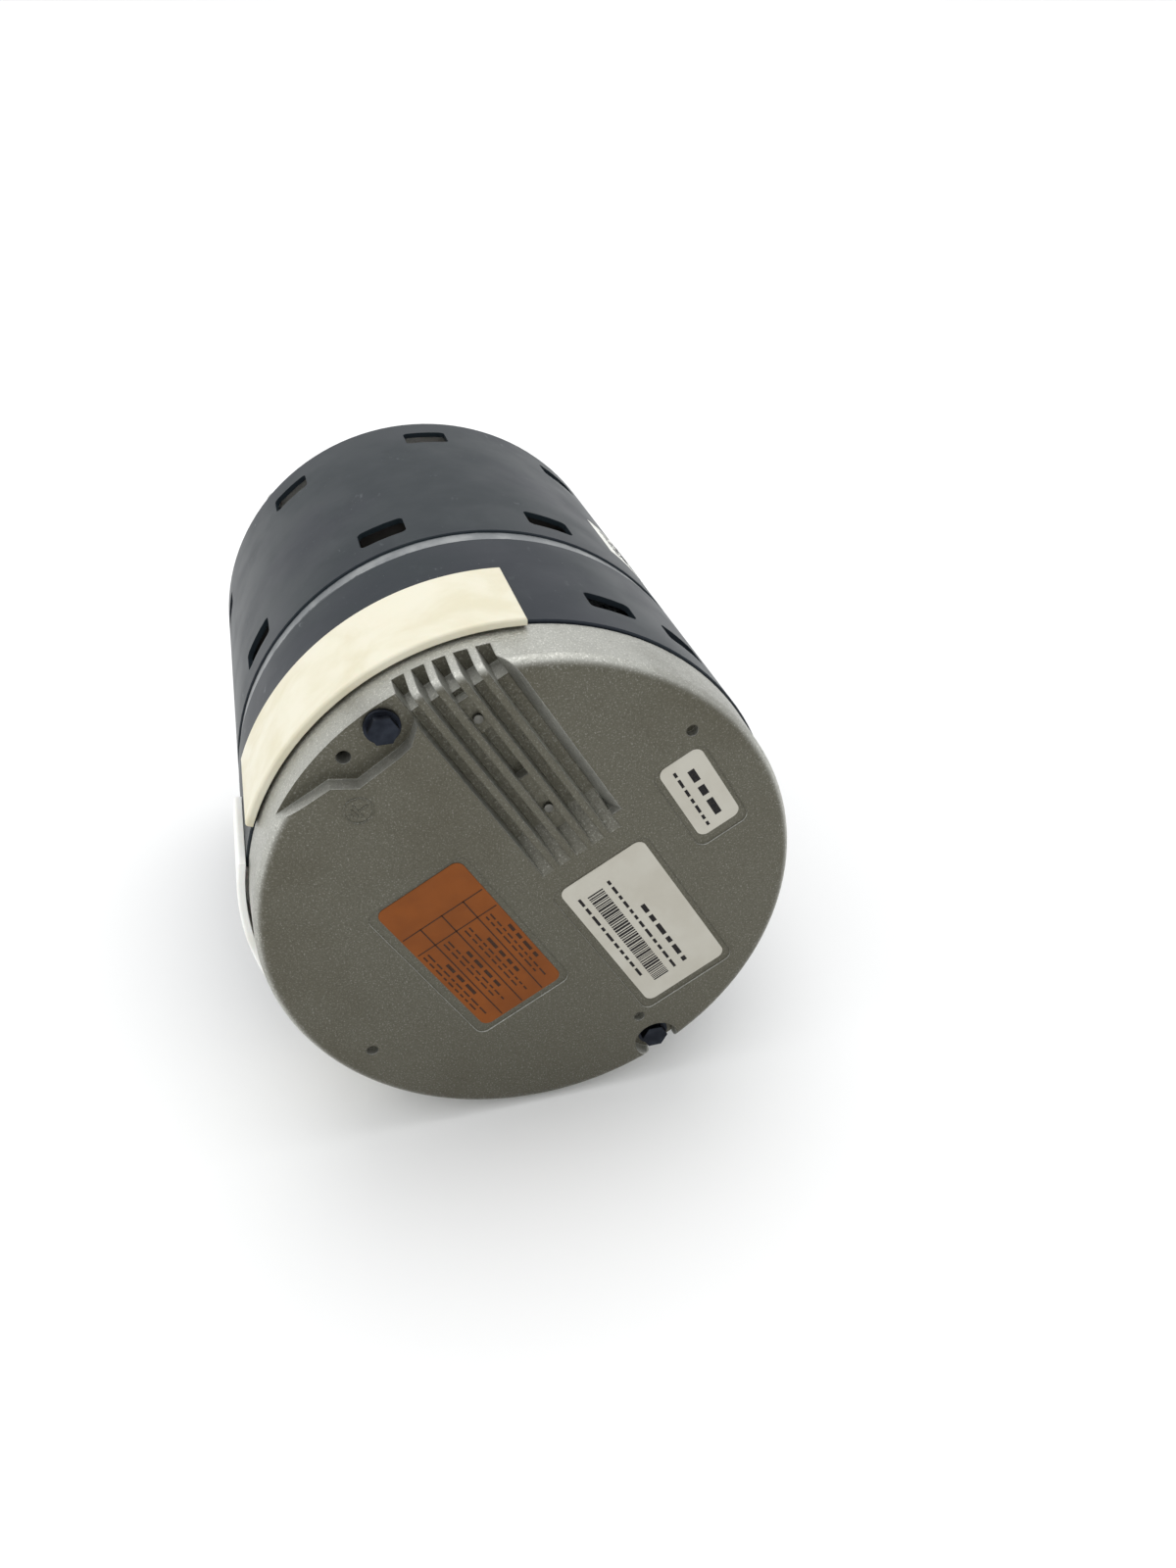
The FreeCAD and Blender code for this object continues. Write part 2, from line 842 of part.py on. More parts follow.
# low u, high u, low v and high v of the label recesses and of the labels in them
LABEL_RECESSES = [(-25.5, 26.5, -34.5, -5.5), (0.0, 52.0, 4.0, 32.7), (-14.0, 13.5, 42.0, 57.2)]
FACE_LABELS = {
    "warning_label": (-24.8, 24.7, -32.0, -7.2),
    "rating_label": (0.5, 49.8, 6.2, 31.3),
    "small_label": (-13.8, 10.7, 43.7, 56.0),
}


def cap_face_sketch(body, station):
    """A sketch square to the shaft whose x runs along the cooling grooves."""
    return cross_sketch(body, station, -D.feature_angle)


def groove_sketch(body, across):
    """A sketch along one cooling groove, its y along the shaft."""
    return sketch_on(body, "XY_Plane", across, D.feature_angle)


def groove_centres():
    return [D.groove_first + D.groove_pitch * i for i in range(int(D.groove_count.number))]


def control_bolt_clocks():
    return [D.control_bolt_angle, D.control_bolt_angle - 180]


def make_end_cap():
    body = new_body("control_end_cap")
    turn_cap(body)
    cut_grooves(body)
    cut_bolt_pockets(body)
    cut_face_marks(body)


def turn_cap(body):
    """The casting's dished shape, with the rounded outer edge and the spigot."""
    face, edge = -D.cap_depth, D.cap_edge_radius
    turn_profile(
        body,
        [
            (0, face),
            (D.cap_face_radius, face),
            (D.cap_root_radius, -D.seam_gap),
            (D.spigot_radius, -D.seam_gap),
            (D.spigot_radius, D.cap_spigot),
            (D.cap_bore, D.cap_spigot),
            (D.cap_bore, D.cap_ledge_station),
            (D.cap_ledge_radius, D.cap_ledge_station),
            (D.cap_ledge_radius, D.cap_floor_station),
            (D.cap_well_radius, D.cap_floor_station),
            (D.cap_well_radius, face + D.cap_skin),
            (0, face + D.cap_skin),
        ],
    )

    def is_rim(edge):
        point = edge_middle(edge)
        near_face = abs(point.y - at(face).number) < TOUCH
        return near_face and math.hypot(point.x, point.z) > D.cap_ledge_radius.number

    soften(body, edge, is_rim)
    # thick boss behind the cooling grooves, where the power module sits
    low = face + D.cap_skin - D.pad_overlap
    boss = cap_face_sketch(body, low)
    box_outline(
        boss,
        D.module_boss_low_u,
        D.module_boss_high_u,
        D.module_boss_low_v,
        D.module_boss_high_v,
    )
    pad(body, boss, D.cap_floor_station - low, reverse=True)


def cut_grooves(body):
    """Five cooling grooves that ramp out of the face and wrap over the rim."""
    face = at(-D.cap_depth)
    floor, side = face + D.groove_depth, face + D.groove_side_depth
    for across in groove_centres():
        inner = -(D.groove_side_radius * D.groove_side_radius - across * across).root()
        sketch = groove_sketch(body, across)
        outline(
            sketch,
            [
                (Size.of(-OUTSIDE), face - CLEAR),
                (Size.of(-OUTSIDE), side),
                (inner, side),
                (inner + D.groove_side_slope, floor),
                (D.groove_ramp_start, floor),
                (D.groove_ramp_end, face),
                (D.groove_ramp_end, face - CLEAR),
            ],
        )
        cut(body, sketch, D.groove_width, middle=True)
    cut_bank(body, face, floor)
    fill_middle_groove(body)


def cut_bank(body, face, floor):
    """The outermost groove's far side slopes up to the face."""
    sketch = sketch_on(body, "YZ_Plane", D.bank_end, D.feature_angle, X_AXIS)
    low = groove_centres()[-1] + D.groove_width / 2 - D.bank_overlap
    high = low + D.groove_bank
    outline(sketch, [(face - CLEAR, low), (floor, low), (face, high), (face - CLEAR, high)])
    cut(body, sketch, OUTSIDE)


def fill_middle_groove(body):
    """Two raised pads in the middle groove, each with the hole of a module rivet."""
    across = groove_centres()[2]
    half = D.groove_width / 2 + D.pad_side_overlap
    for low, high in RAISED_PADS:
        sketch = cap_face_sketch(body, -D.cap_depth + D.pad_depth)
        box_outline(sketch, Size.of(low), Size.of(high), across - half, across + half)
        pad(body, sketch, D.groove_depth - D.pad_depth + D.pad_overlap, reverse=True)
    for along in (D.rivet_outer_u, D.rivet_inner_u):
        hole = cap_face_sketch(body, -D.cap_depth - CLEAR)
        circle(hole, along, across, D.rivet_hole_radius)
        cut(body, hole, THROUGH)


def cut_bolt_pockets(body):
    """A long pocket round one control bolt, open to the rim, and a notch round the other."""
    above = -D.cap_depth - CLEAR
    pocket = cap_face_sketch(body, above)
    outline(pocket, POCKET_CORNERS)
    cut(body, pocket, D.pocket_depth + CLEAR)
    notch = cross_sketch(body, above)
    x, z = on_circle(D.control_bolt_circle, D.control_bolt_angle)
    circle(notch, x, z, D.notch_radius)
    cut(body, notch, D.pocket_depth + CLEAR)
    radius = D.control_bolt_radius + D.bolt_play
    bolt_holes(body, above, control_bolt_clocks(), D.control_bolt_circle, radius)


def cut_face_marks(body):
    """The ground screw hole, the casting's pin marks and the shallow label recesses."""
    above = -D.cap_depth - CLEAR
    hole = cap_face_sketch(body, above)
    circle(hole, D.ground_hole_u, D.ground_hole_v, D.ground_hole_radius)
    cut(body, hole, D.cap_ledge_station - above)
    for u, v in PIN_MARKS:
        mark = cap_face_sketch(body, above)
        circle(mark, u, v, D.pin_mark_radius)
        cut(body, mark, D.pin_mark_depth + CLEAR)
    for corners in LABEL_RECESSES:
        recess = cap_face_sketch(body, above)
        box_outline(recess, *corners)
        cut(body, recess, D.recess_depth + CLEAR)
    bottom, top = at(-D.cap_depth + D.recess_depth).number, at(-D.cap_depth).number
    middle = (bottom + top) / 2

    def is_recess_corner(edge):
        return runs_along(edge, Y_AXIS) and abs(edge_middle(edge).y - middle) < TOUCH

    soften(body, D.recess_corner, is_recess_corner)


def make_labels():
    """Blank labels: three lie in the cap's recesses and one is wrapped round the motor shell."""
    for label, corners in FACE_LABELS.items():
        body = new_body(label)
        sketch = cap_face_sketch(body, -D.cap_depth + D.recess_depth)
        box_outline(sketch, *corners)
        pad(body, sketch, D.label_thickness)
        soften(body, D.label_corner, lambda edge: runs_along(edge, Y_AXIS))
    body = new_body("shell_label")
    sketch = axial_sketch(body, D.shell_label_start)
    low, high = at(D.shell_label_low), at(D.shell_label_high)
    box_outline(sketch, D.shell_radius, D.shell_radius + D.shell_label_thickness, low, high)
    revolve(body, sketch, D.shell_label_angle)


# ---------------------------------------------------------------- end shields


def through_bolt_clocks():
    return [D.through_bolt_angle + 90 * i for i in range(4)]


def make_mid_shield():
    """The casting between motor and control: rim, two spigots, web and rear bearing hub."""
    body = new_body("mid_end_shield")
    shoulder = D.mid_hub_start + D.shoulder_thickness
    turn_profile(
        body,
        [
            (D.shoulder_bore, D.mid_hub_start),
            (D.hub_radius, D.mid_hub_start),
            (D.hub_radius, D.mid_web_start),
            (D.rim_inner, D.mid_web_start),
            (D.spigot_radius - D.spigot_wall, D.control_end - D.spigot_length),
            (D.spigot_radius, D.control_end - D.spigot_length),
            (D.spigot_radius, D.control_end),
            (D.ring_radius, D.control_end),
            (D.ring_radius, D.ring_end),
            (D.spigot_radius, D.ring_end),
            (D.spigot_radius, D.ring_end + D.spigot_length),
            (D.spigot_radius - D.spigot_wall, D.ring_end + D.spigot_length),
            (D.rim_inner, D.mid_web_end),
            (D.hub_radius, D.mid_web_end),
            (D.hub_radius, D.mid_hub_end),
            (D.bearing_bore, D.mid_hub_end),
            (D.bearing_bore, shoulder),
            (D.shoulder_bore, shoulder),
        ],
    )
    start = D.control_end - D.spigot_length - CLEAR
    bolt_holes(body, start, through_bolt_clocks(), D.through_bolt_circle, D.through_bolt_radius)
    bolt_holes(body, start, control_bolt_clocks(), D.control_bolt_circle, D.control_bolt_radius)
    leads = cross_sketch(body, start)
    box_outline(leads, -D.lead_slot_half, D.lead_slot_half, -D.lead_slot_outer, -D.lead_slot_inner)
    cut(body, leads, THROUGH)


def make_drive_shield():
    """The drive-end casting: rim, web with six vent windows, and front bearing hub."""
    body = new_body("drive_end_shield")
    inside = D.drive_face - D.drive_web
    shoulder = D.front_bearing_start + D.bearing_width
    turn_profile(
        body,
        [
            (D.bearing_bore, D.drive_hub_start),
            (D.hub_radius, D.drive_hub_start),
            (D.hub_radius, inside),
            (D.rim_inner, inside),
            (D.spigot_radius - 2 * D.spigot_wall, D.drive_rim_start),
            (D.spigot_radius, D.drive_rim_start),
            (D.spigot_radius, D.drive_face),
            (D.hub_radius + D.shoulder_thickness, D.drive_face),
            (D.hub_radius, D.drive_hub_end),
            (D.seal_bore, D.drive_hub_end),
            (D.seal_bore, shoulder + D.race_relief_depth),
            (D.race_relief_radius, shoulder + D.race_relief_depth),
            (D.race_relief_radius, shoulder),
            (D.bearing_bore, shoulder),
        ],
    )
    window = cross_sketch(body, D.drive_rim_start)
    half, low, high = D.window_half_width, D.window_inner, D.window_outer
    wide = half * D.window_widening
    outline(window, [(-half, low), (half, low), (wide, high), (-wide, high)])
    first = cut(body, window, THROUGH)
    around(body, [first], D.window_count)
    low_edge, high_edge = at(inside).number, at(D.drive_face).number
    middle = (low_edge + high_edge) / 2

    def is_window_corner(edge):
        return runs_along(edge, Y_AXIS) and abs(edge_middle(edge).y - middle) < TOUCH

    soften(body, D.window_corner, is_window_corner)
    start, radius = D.drive_rim_start - CLEAR, D.through_hole_radius
    bolt_holes(body, start, through_bolt_clocks(), D.through_bolt_circle, radius)


# ---------------------------------------------------------------- fasteners


def hex_bolt(name, x, z, seat, end, radius, towards):
    """A hex washer-head bolt along the shaft; towards is -1 when its head faces the control end."""
    low, high = (seat, end) if towards < 0 else (end, seat)
    shank = cylinder(name + "_shank", radius, high - low, low, x, z)
    flange_low = seat - D.flange_height if towards < 0 else seat
    flange = cylinder(name + "_flange", D.flange_radius, D.flange_height, flange_low, x, z)
    head = doc.addObject("Part::Prism", name + "_head")
    head.Polygon = 6
    bind(head, Circumradius=D.head_radius, Height=D.head_height)
    head_low = seat - D.head_height if towards < 0 else seat
    place(head, x, at(head_low), z, X_AXIS, -90)
    return fuse(name, [shank, flange, head])


def make_bolts():
    """Two long bolts hold the control on; four hold the motor together."""
    seat = -D.cap_depth + D.pocket_depth
    bolts = []
    for i, clock in enumerate(control_bolt_clocks()):
        x, z = on_circle(D.control_bolt_circle, clock)
        bolts.append(hex_bolt(f"ControlBolt{i}", x, z, seat, D.ring_end, D.control_bolt_radius, -1))
    group("control_bolts", bolts)
    bolts = []
    for i, clock in enumerate(through_bolt_clocks()):
        x, z = on_circle(D.through_bolt_circle, clock)
        start, radius = D.mid_web_start, D.through_bolt_radius
        bolts.append(hex_bolt(f"ThroughBolt{i}", x, z, D.drive_face, start, radius, 1))
    group("through_bolts", bolts)


# ---------------------------------------------------------------- bearings


def make_bearing(prefix, start):
    """A shielded single-row ball bearing in six pieces."""
    end, middle = start + D.bearing_width, start + D.bearing_width / 2
    outer = new_body(prefix + "_bearing_outer_race")
    turn_profile(outer, ring_corners(D.outer_land, D.bearing_outer, start, end))
    inner = new_body(prefix + "_bearing_inner_race")
    turn_profile(inner, ring_corners(D.journal_radius, D.inner_land, start, end))
    for race in (outer, inner):
        track = axial_sketch(race)
        circle(track, D.ball_pitch, at(middle), D.track_radius)
        revolve(race, track, 360, "PartDesign::Groove")
    balls = []
    for i in range(int(D.ball_count.number)):
        ball = doc.addObject("Part::Sphere", f"{prefix}_ball_{i}")
        bind(ball, Radius=D.ball_radius)
        x, z = on_circle(D.ball_pitch, Size.of(i) * 360 / D.ball_count)
        place(ball, x, at(middle), z)
        balls.append(ball)
    group(prefix + "_bearing_balls", balls)
    make_cage(prefix, middle)
    shields = []
    inset = D.shield_inset
    for i, low in enumerate((start + inset, end - inset - D.shield_thickness)):
        disc = cylinder(f"{prefix}_disc_{i}", D.outer_land, D.shield_thickness, low)
        hole = cylinder(f"{prefix}_disc_hole_{i}", D.shield_inner, D.shield_thickness, low)
        shields.append(subtract(f"{prefix}_shield_{i}", disc, hole))
    group(prefix + "_bearing_shields", shields)


def make_cage(prefix, middle):
    """A ring with one round window for each ball."""
    cage = new_body(prefix + "_bearing_cage")
    half = D.cage_width / 2
    turn_profile(cage, ring_corners(D.cage_inner, D.cage_outer, middle - half, middle + half))
    window = radial_sketch(cage, D.cage_outer + CLEAR, 0)
    circle(window, 0, at(middle), D.ball_radius + D.cage_window_play)
    first = cut(cage, window, 2 * CLEAR)
    around(cage, [first], D.ball_count)


# ---------------------------------------------------------------- rotor


def make_shaft():
    """The shaft: bearing journals, rotor seat, slinger seat and the flatted drive end."""
    body = new_body("shaft")
    start, end = D.rear_journal_end, D.shaft_end
    turn_profile(
        body,
        [
            (0, start),
            (D.journal_radius - D.journal_break, start),
            (D.journal_radius, start + D.journal_break),
            (D.journal_radius, D.rotor_seat_start),
            (D.rotor_seat_radius, D.rotor_seat_start),
            (D.rotor_seat_radius, D.rotor_seat_end),
            (D.journal_radius, D.rotor_seat_end),
            (D.journal_radius, D.shaft_step),
            (D.slinger_seat_radius, D.shaft_step),
            (D.slinger_seat_radius, D.slinger_seat_end),
            (D.shaft_radius, D.slinger_seat_end),
            (D.shaft_radius, end - D.shaft_break),
            (D.shaft_radius - D.shaft_break, end),
            (0, end),
        ],
    )
    groove = axial_sketch(body)
    low = start + D.ring_groove_inset
    floor, high = D.journal_radius - D.ring_groove_depth, low + D.ring_groove_width
    box_outline(groove, floor, D.journal_radius + CLEAR, at(low), at(high))
    revolve(body, groove, 360, "PartDesign::Groove")
    flat = cross_sketch(body, end + CLEAR, -D.shaft_flat_clock)
    level, reach = D.shaft_radius - D.shaft_flat_depth, 2 * D.shaft_radius
    box_outline(flat, -reach, reach, level, reach)
    cut(body, flat, end + CLEAR - D.shaft_flat_start, reverse=True)


def make_retaining_ring():
    """An open ring that snaps into the shaft's rear groove."""
    body = new_body("shaft_retaining_ring")
    play = (D.ring_groove_width - D.retaining_ring_thickness) / 2
    low = D.rear_journal_end + D.ring_groove_inset + play
    inner = D.journal_radius - D.ring_groove_depth + play
    outer = D.journal_radius + D.retaining_ring_height
    corners = ring_corners(inner, outer, low, low + D.retaining_ring_thickness)
    turn_profile(body, corners, D.retaining_ring_angle)


def make_rotor():
    """Hub, rubber isolator, drilled core and a ring of separate magnets."""
    start, end = D.core_start, D.core_end
    inset = D.rotor_hub_inset
    tube("rotor_hub", D.rotor_seat_radius, D.isolator_bore, start + inset, end - inset)
    inset = D.isolator_inset
    tube("rotor_isolator", D.isolator_bore, D.core_bore, start + inset, end - inset)
    core = tube("rotor_core", D.core_bore, D.core_outer, start, end)
    hole = cross_sketch(core, start - CLEAR)
    circle(hole, 0, D.core_hole_circle, D.core_hole_radius)
    first = cut(core, hole, end - start + 2 * CLEAR)
    around(core, [first], D.magnet_count)
    magnets = new_body("rotor_magnets")
    corners = ring_corners(D.core_outer, D.magnet_outer, start, end)
    first = turn_profile(magnets, corners, D.magnet_angle)
    around(magnets, [first], D.magnet_count)


def make_slinger():
    """A rubber disc on the shaft that throws water off outside the drive-end hub."""
    body = new_body("shaft_slinger")
    start, rim = D.drive_hub_end + D.slinger_gap, D.slinger_radius
    disc, end = start + D.slinger_disc_thickness, start + D.slinger_length
    turn_profile(
        body,
        [
            (D.slinger_seat_radius, start),
            (rim - D.slinger_disc_thickness, start),
            (rim, disc),
            (D.slinger_hub_radius, disc),
            (D.slinger_hub_radius, end),
            (D.slinger_seat_radius, end),
        ],
    )


def make_preload_spring():
    """A dished spring washer that pushes on the rear bearing's outer race."""
    body = new_body("preload_spring")
    low, high = D.mid_hub_start + D.shoulder_thickness, D.rear_bearing_start
    inner, outer, land = D.spring_inner, D.spring_outer, D.spring_land
    turn_profile(
        body,
        [
            (inner, low),
            (inner + land, low),
            (outer, high - D.spring_thickness),
            (outer, high),
            (outer - land, high),
            (inner, low + D.spring_thickness),
        ],
    )


# ---------------------------------------------------------------- stator


def slot_corners():
    """One stator slot, with a narrow mouth and sides parallel to the teeth."""
    half_pitch = Size.of(180) / D.slot_count
    slope = half_pitch.sine() / half_pitch.cosine()
    offset = D.tooth_width / 2 / half_pitch.cosine()
    low, high, mouth = D.slot_lip, D.slot_bottom, D.slot_opening / 2
    right = [
        (mouth, D.stator_bore - CLEAR),
        (mouth, low - D.slot_lip_height),
        (low * slope - offset, low),
        (high * slope - offset, high),
    ]
    return right + [(-x, y) for x, y in reversed(right)]


def slotted_stack(label, outer, start, end):
    """A ring of stator section with its winding slots, one slot centred on +Z."""
    body = tube(label, D.stator_bore, outer, start, end)
    sketch = cross_sketch(body, start - CLEAR)
    outline(sketch, slot_corners())
    first = cut(body, sketch, end - start + 2 * CLEAR)
    around(body, [first], D.slot_count)
    return body


def make_stator():
    """The slotted core, grooved for the through bolts, with an insulator at each end."""
    start, end, thickness = D.stack_start, D.stack_end, D.insulator_thickness
    core = slotted_stack("stator_core", D.stator_outer, start, end)
    notch = cross_sketch(core, start - CLEAR)
    x, z = on_circle(D.through_bolt_circle, D.through_bolt_angle)
    circle(notch, x, z, D.through_bolt_radius + D.bolt_notch_play)
    first = cut(core, notch, end - start + 2 * CLEAR)
    around(core, [first], 4)
    make_insulator("rear_stator_insulator", start - thickness, start, -1)
    make_insulator("front_stator_insulator", end, end + thickness, 1)


def make_insulator(label, start, end, side):
    """A plastic end ring whose two collars keep the coils off the shell and the rotor."""
    body = slotted_stack(label, D.slot_bottom + D.insulator_rim, start, end)
    face, height = (end, D.insulator_height) if side > 0 else (start, -D.insulator_height)
    for inner in (D.stator_bore + D.insulator_lip, D.slot_bottom):
        turn_profile(body, ring_corners(inner, inner + D.insulator_wall, face, face + height))


def make_windings():
    """Eighteen coils on the teeth, six to a phase."""
    tooth = Size.of(180) / D.slot_count
    for i, phase in enumerate("abc"):
        body = new_body("winding_phase_" + phase)
        make_coil(body, tooth + 2 * tooth * i)
        spin = body.newObject("PartDesign::PolarPattern", "Pattern")
        spin.TransformMode = "Whole shape"
        spin.Axis = (datum(body, "Y_Axis"), [""])
        bind(spin, Angle=360, Occurrences=D.slot_count / 3)
        settle(body, spin)


def make_coil(body, clock):
    """A coil of wire, as a rounded block with the hole that its tooth goes through."""
    low, high = D.stack_start - D.insulator_thickness, D.stack_end + D.insulator_thickness
    spoke = outward(clock)
    sketch = radial_sketch(body, D.coil_inner_radius, clock)
    half = D.coil_width / 2
    box_outline(sketch, -half, half, at(low - D.coil_end), at(high + D.coil_end))
    pad(body, sketch, D.coil_outer_radius - D.coil_inner_radius)
    soften(body, D.coil_corner, lambda edge: runs_along(edge, spoke))
    sketch = radial_sketch(body, D.coil_outer_radius + CLEAR, clock)
    half = D.coil_hole / 2
    box_outline(sketch, -half, half, at(low - D.coil_play), at(high + D.coil_play))
    cut(body, sketch, THROUGH)

    def is_hole_corner(edge):
        sideways = abs(edge_middle(edge).cross(spoke).dot(Y_AXIS))
        return runs_along(edge, spoke) and abs(sideways - half.number) < TOUCH

    soften(body, D.coil_hole_corner, is_hole_corner)


def make_leads():
    """Three insulated leads from the windings through the mid shield to a plug at the board."""
    start, length = D.lead_start, D.lead_end - D.lead_start
    depth = -(D.lead_slot_inner + D.lead_slot_outer) / 2
    leads = []
    for i in (-1, 0, 1):
        x = D.lead_pitch * i
        leads.append(cylinder(f"Lead{i + 1}", D.lead_radius, length, start, x, depth))
    group("phase_leads", leads)
    low, half = D.board_start + D.board_thickness, D.plug_half_width
    outer, inner = -D.lead_slot_outer, -D.lead_slot_inner
    plug = block("phase_plug_block", -half, half, low, start, outer, inner)
    rounded = doc.addObject("Part::Fillet", "phase_plug_round")
    rounded.Base = plug
    radius = D.plug_round.number
    rounded.Edges = [(i, radius, radius) for i in range(1, 13)]
    keep(rounded, "phase_plug")


# ---------------------------------------------------------------- control electronics

STANDOFF_CLOCKS = [45.0, 135.0, 225.0, 300.0]
CAPACITOR_SPOTS = [(29.0, 20.5), (33.0, -5.0), (10.0, -4.0)]  # x and z of each axis
CHIPS = [(-14.0, 6.0, 12.0, 12.0), (12.0, 10.0, 10.0, 7.0), (16.0, -16.0, 8.0, 14.0)]  # x, z and size


def make_board():
    body = new_body("control_board")
    sketch = cross_sketch(body, D.board_start)
    circle(sketch, 0, 0, D.board_radius)
    pad(body, sketch, D.board_thickness, reverse=True)
    start = D.board_start - CLEAR
    bolt_holes(body, start, STANDOFF_CLOCKS, D.standoff_circle, D.screw_hole_radius)


def make_standoffs():
    """Pillars from the cap's floor, each with the screw that holds the board to it."""
    pillars, screws = [], []
    foot = -D.cap_depth + D.cap_skin
    start, top = D.board_start, D.board_start + D.board_thickness
    for i, clock in enumerate(STANDOFF_CLOCKS):
        x, z = on_circle(D.standoff_circle, clock)
        pillars.append(cylinder(f"Pillar{i}", D.standoff_radius, start - foot, foot, x, z))
        shank = cylinder(f"ScrewShank{i}", D.screw_radius, D.board_thickness, start, x, z)
        head = cylinder(f"ScrewHead{i}", D.screw_head_radius, D.screw_head_height, top, x, z)
        screws.append(fuse(f"Screw{i}", [shank, head]))
    group("board_standoffs", pillars)
    group("board_screws", screws)


def make_board_parts():
    """The large parts on the board: bus capacitors, choke, film capacitor, chips."""
    cans = []
    start = D.board_start - D.can_length
    for i, (x, z) in enumerate(CAPACITOR_SPOTS):
        cans.append(cylinder(f"Can{i}", D.can_radius, D.can_length, start, x, z))
    group("bus_capacitors", cans)
    ring = doc.addObject("Part::Torus", "choke_ring")
    bind(ring, Radius1=D.choke_radius, Radius2=D.choke_thickness)
    place(ring, D.choke_x, at(D.board_start - D.choke_thickness), D.choke_z, X_AXIS, -90)
    keep(ring, "line_choke")
    start, end = D.board_start - D.film_height, D.board_start
    low_x, high_x, low_z, high_z = D.film_low_x, D.film_high_x, D.film_low_z, D.film_high_z
    keep(block("film_block", low_x, high_x, start, end, low_z, high_z), "film_capacitor")
    top = D.board_start + D.board_thickness
    chips = []
    for i, (x, z, width, height) in enumerate(CHIPS):
        x, z = Size.of(x), Size.of(z)
        chips.append(block(f"Chip{i}", x, x + width, top, top + D.chip_thickness, z, z + height))
    group("control_chips", chips)


def plate_on_boss(label, start, thickness, low_u, high_u, low_v, high_v):
    """A rectangular plate on the boss behind the cooling grooves."""
    body = new_body(label)
    sketch = cap_face_sketch(body, start)
    box_outline(sketch, low_u, high_u, low_v, high_v)
    pad(body, sketch, thickness, reverse=True)
    return body


def make_power_module():
    """The switching module on its heat pad, under a clamp bar that two rivets hold."""
    low_u, high_u, low_v, high_v = D.module_low_u, D.module_high_u, D.module_low_v, D.module_high_v
    start, margin = D.cap_floor_station, D.heat_pad_margin
    corners = (low_u - margin, high_u + margin, low_v - margin, high_v + margin)
    plate_on_boss("thermal_pad", start, D.heat_pad_thickness, *corners)
    start = start + D.heat_pad_thickness
    plate_on_boss("power_module", start, D.module_thickness, low_u, high_u, low_v, high_v)
    start, across = start + D.module_thickness, groove_centres()[2]
    outer_u, inner_u = D.rivet_outer_u, D.rivet_inner_u
    low_v, high_v = across - D.clamp_half_width, across + D.clamp_half_width
    corners = (outer_u - D.clamp_margin, inner_u + D.clamp_margin, low_v, high_v)
    clamp = plate_on_boss("module_clamp", start, D.clamp_thickness, *corners)
    end, seat = start + D.clamp_thickness, -D.cap_depth + D.pad_depth
    rivets = []
    for i, along in enumerate((outer_u, inner_u)):
        hole = cap_face_sketch(clamp, start - CLEAR)
        circle(hole, along, across, D.rivet_hole_radius)
        cut(clamp, hole, THROUGH)
        x, z = face_to_frame(along, across)
        shank = cylinder(f"RivetShank{i}", D.rivet_shank_radius, end - seat, seat, x, z)
        height, radius = D.rivet_head_height, D.rivet_radius
        head = cylinder(f"RivetHead{i}", radius, height, seat - height, x, z)
        tail = cylinder(f"RivetTail{i}", 1.5 * radius, height, end, x, z)
        rivets.append(fuse(f"Rivet{i}", [shank, head, tail]))
    group("module_rivets", rivets)


# ---------------------------------------------------------------- assembly


def make_all():
    make_end_cap()
    tube("cap_gasket", D.spigot_radius, D.gasket_radius, -D.seam_gap, Size.of(0))
    make_control_shell()
    make_terminal_cover()
    make_connector_housing()
    make_contacts()
    make_labels()
    make_mid_shield()
    make_motor_shell()
    make_drive_shield()
    make_bolts()
    make_bearing("rear", D.rear_bearing_start)
    make_bearing("front", D.front_bearing_start)
    make_shaft()
    make_retaining_ring()
    make_rotor()
    make_slinger()
    make_preload_spring()
    make_stator()
    make_windings()
    make_leads()
    make_board()
    make_standoffs()
    make_board_parts()
    make_power_module()


def check_document():
    """Stops if any object failed or any sub-part is missing or broken."""
    doc.recompute()
    for thing in doc.Objects:
        bad = {"Invalid", "Error"} & set(thing.State)
        if bad:
            raise ValueError(f"{thing.Name} ({thing.Label}) is {sorted(bad)}")
    for node in nodes:
        if node.Shape.isNull() or not node.Shape.isValid() or node.Shape.Volume <= 0:
            raise ValueError(f"{node.Label} has no valid solid")


def export_parts():
    os.makedirs("parts", exist_ok=True)
    for node in nodes:
        node.Shape.exportStep(os.path.join("parts", node.Label + ".step"))
        print(f"{node.Label}: {len(node.Shape.Solids)} solids, {node.Shape.Volume:.1f} mm3")


make_all()
check_document()
export_parts()
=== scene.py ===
import math
import random

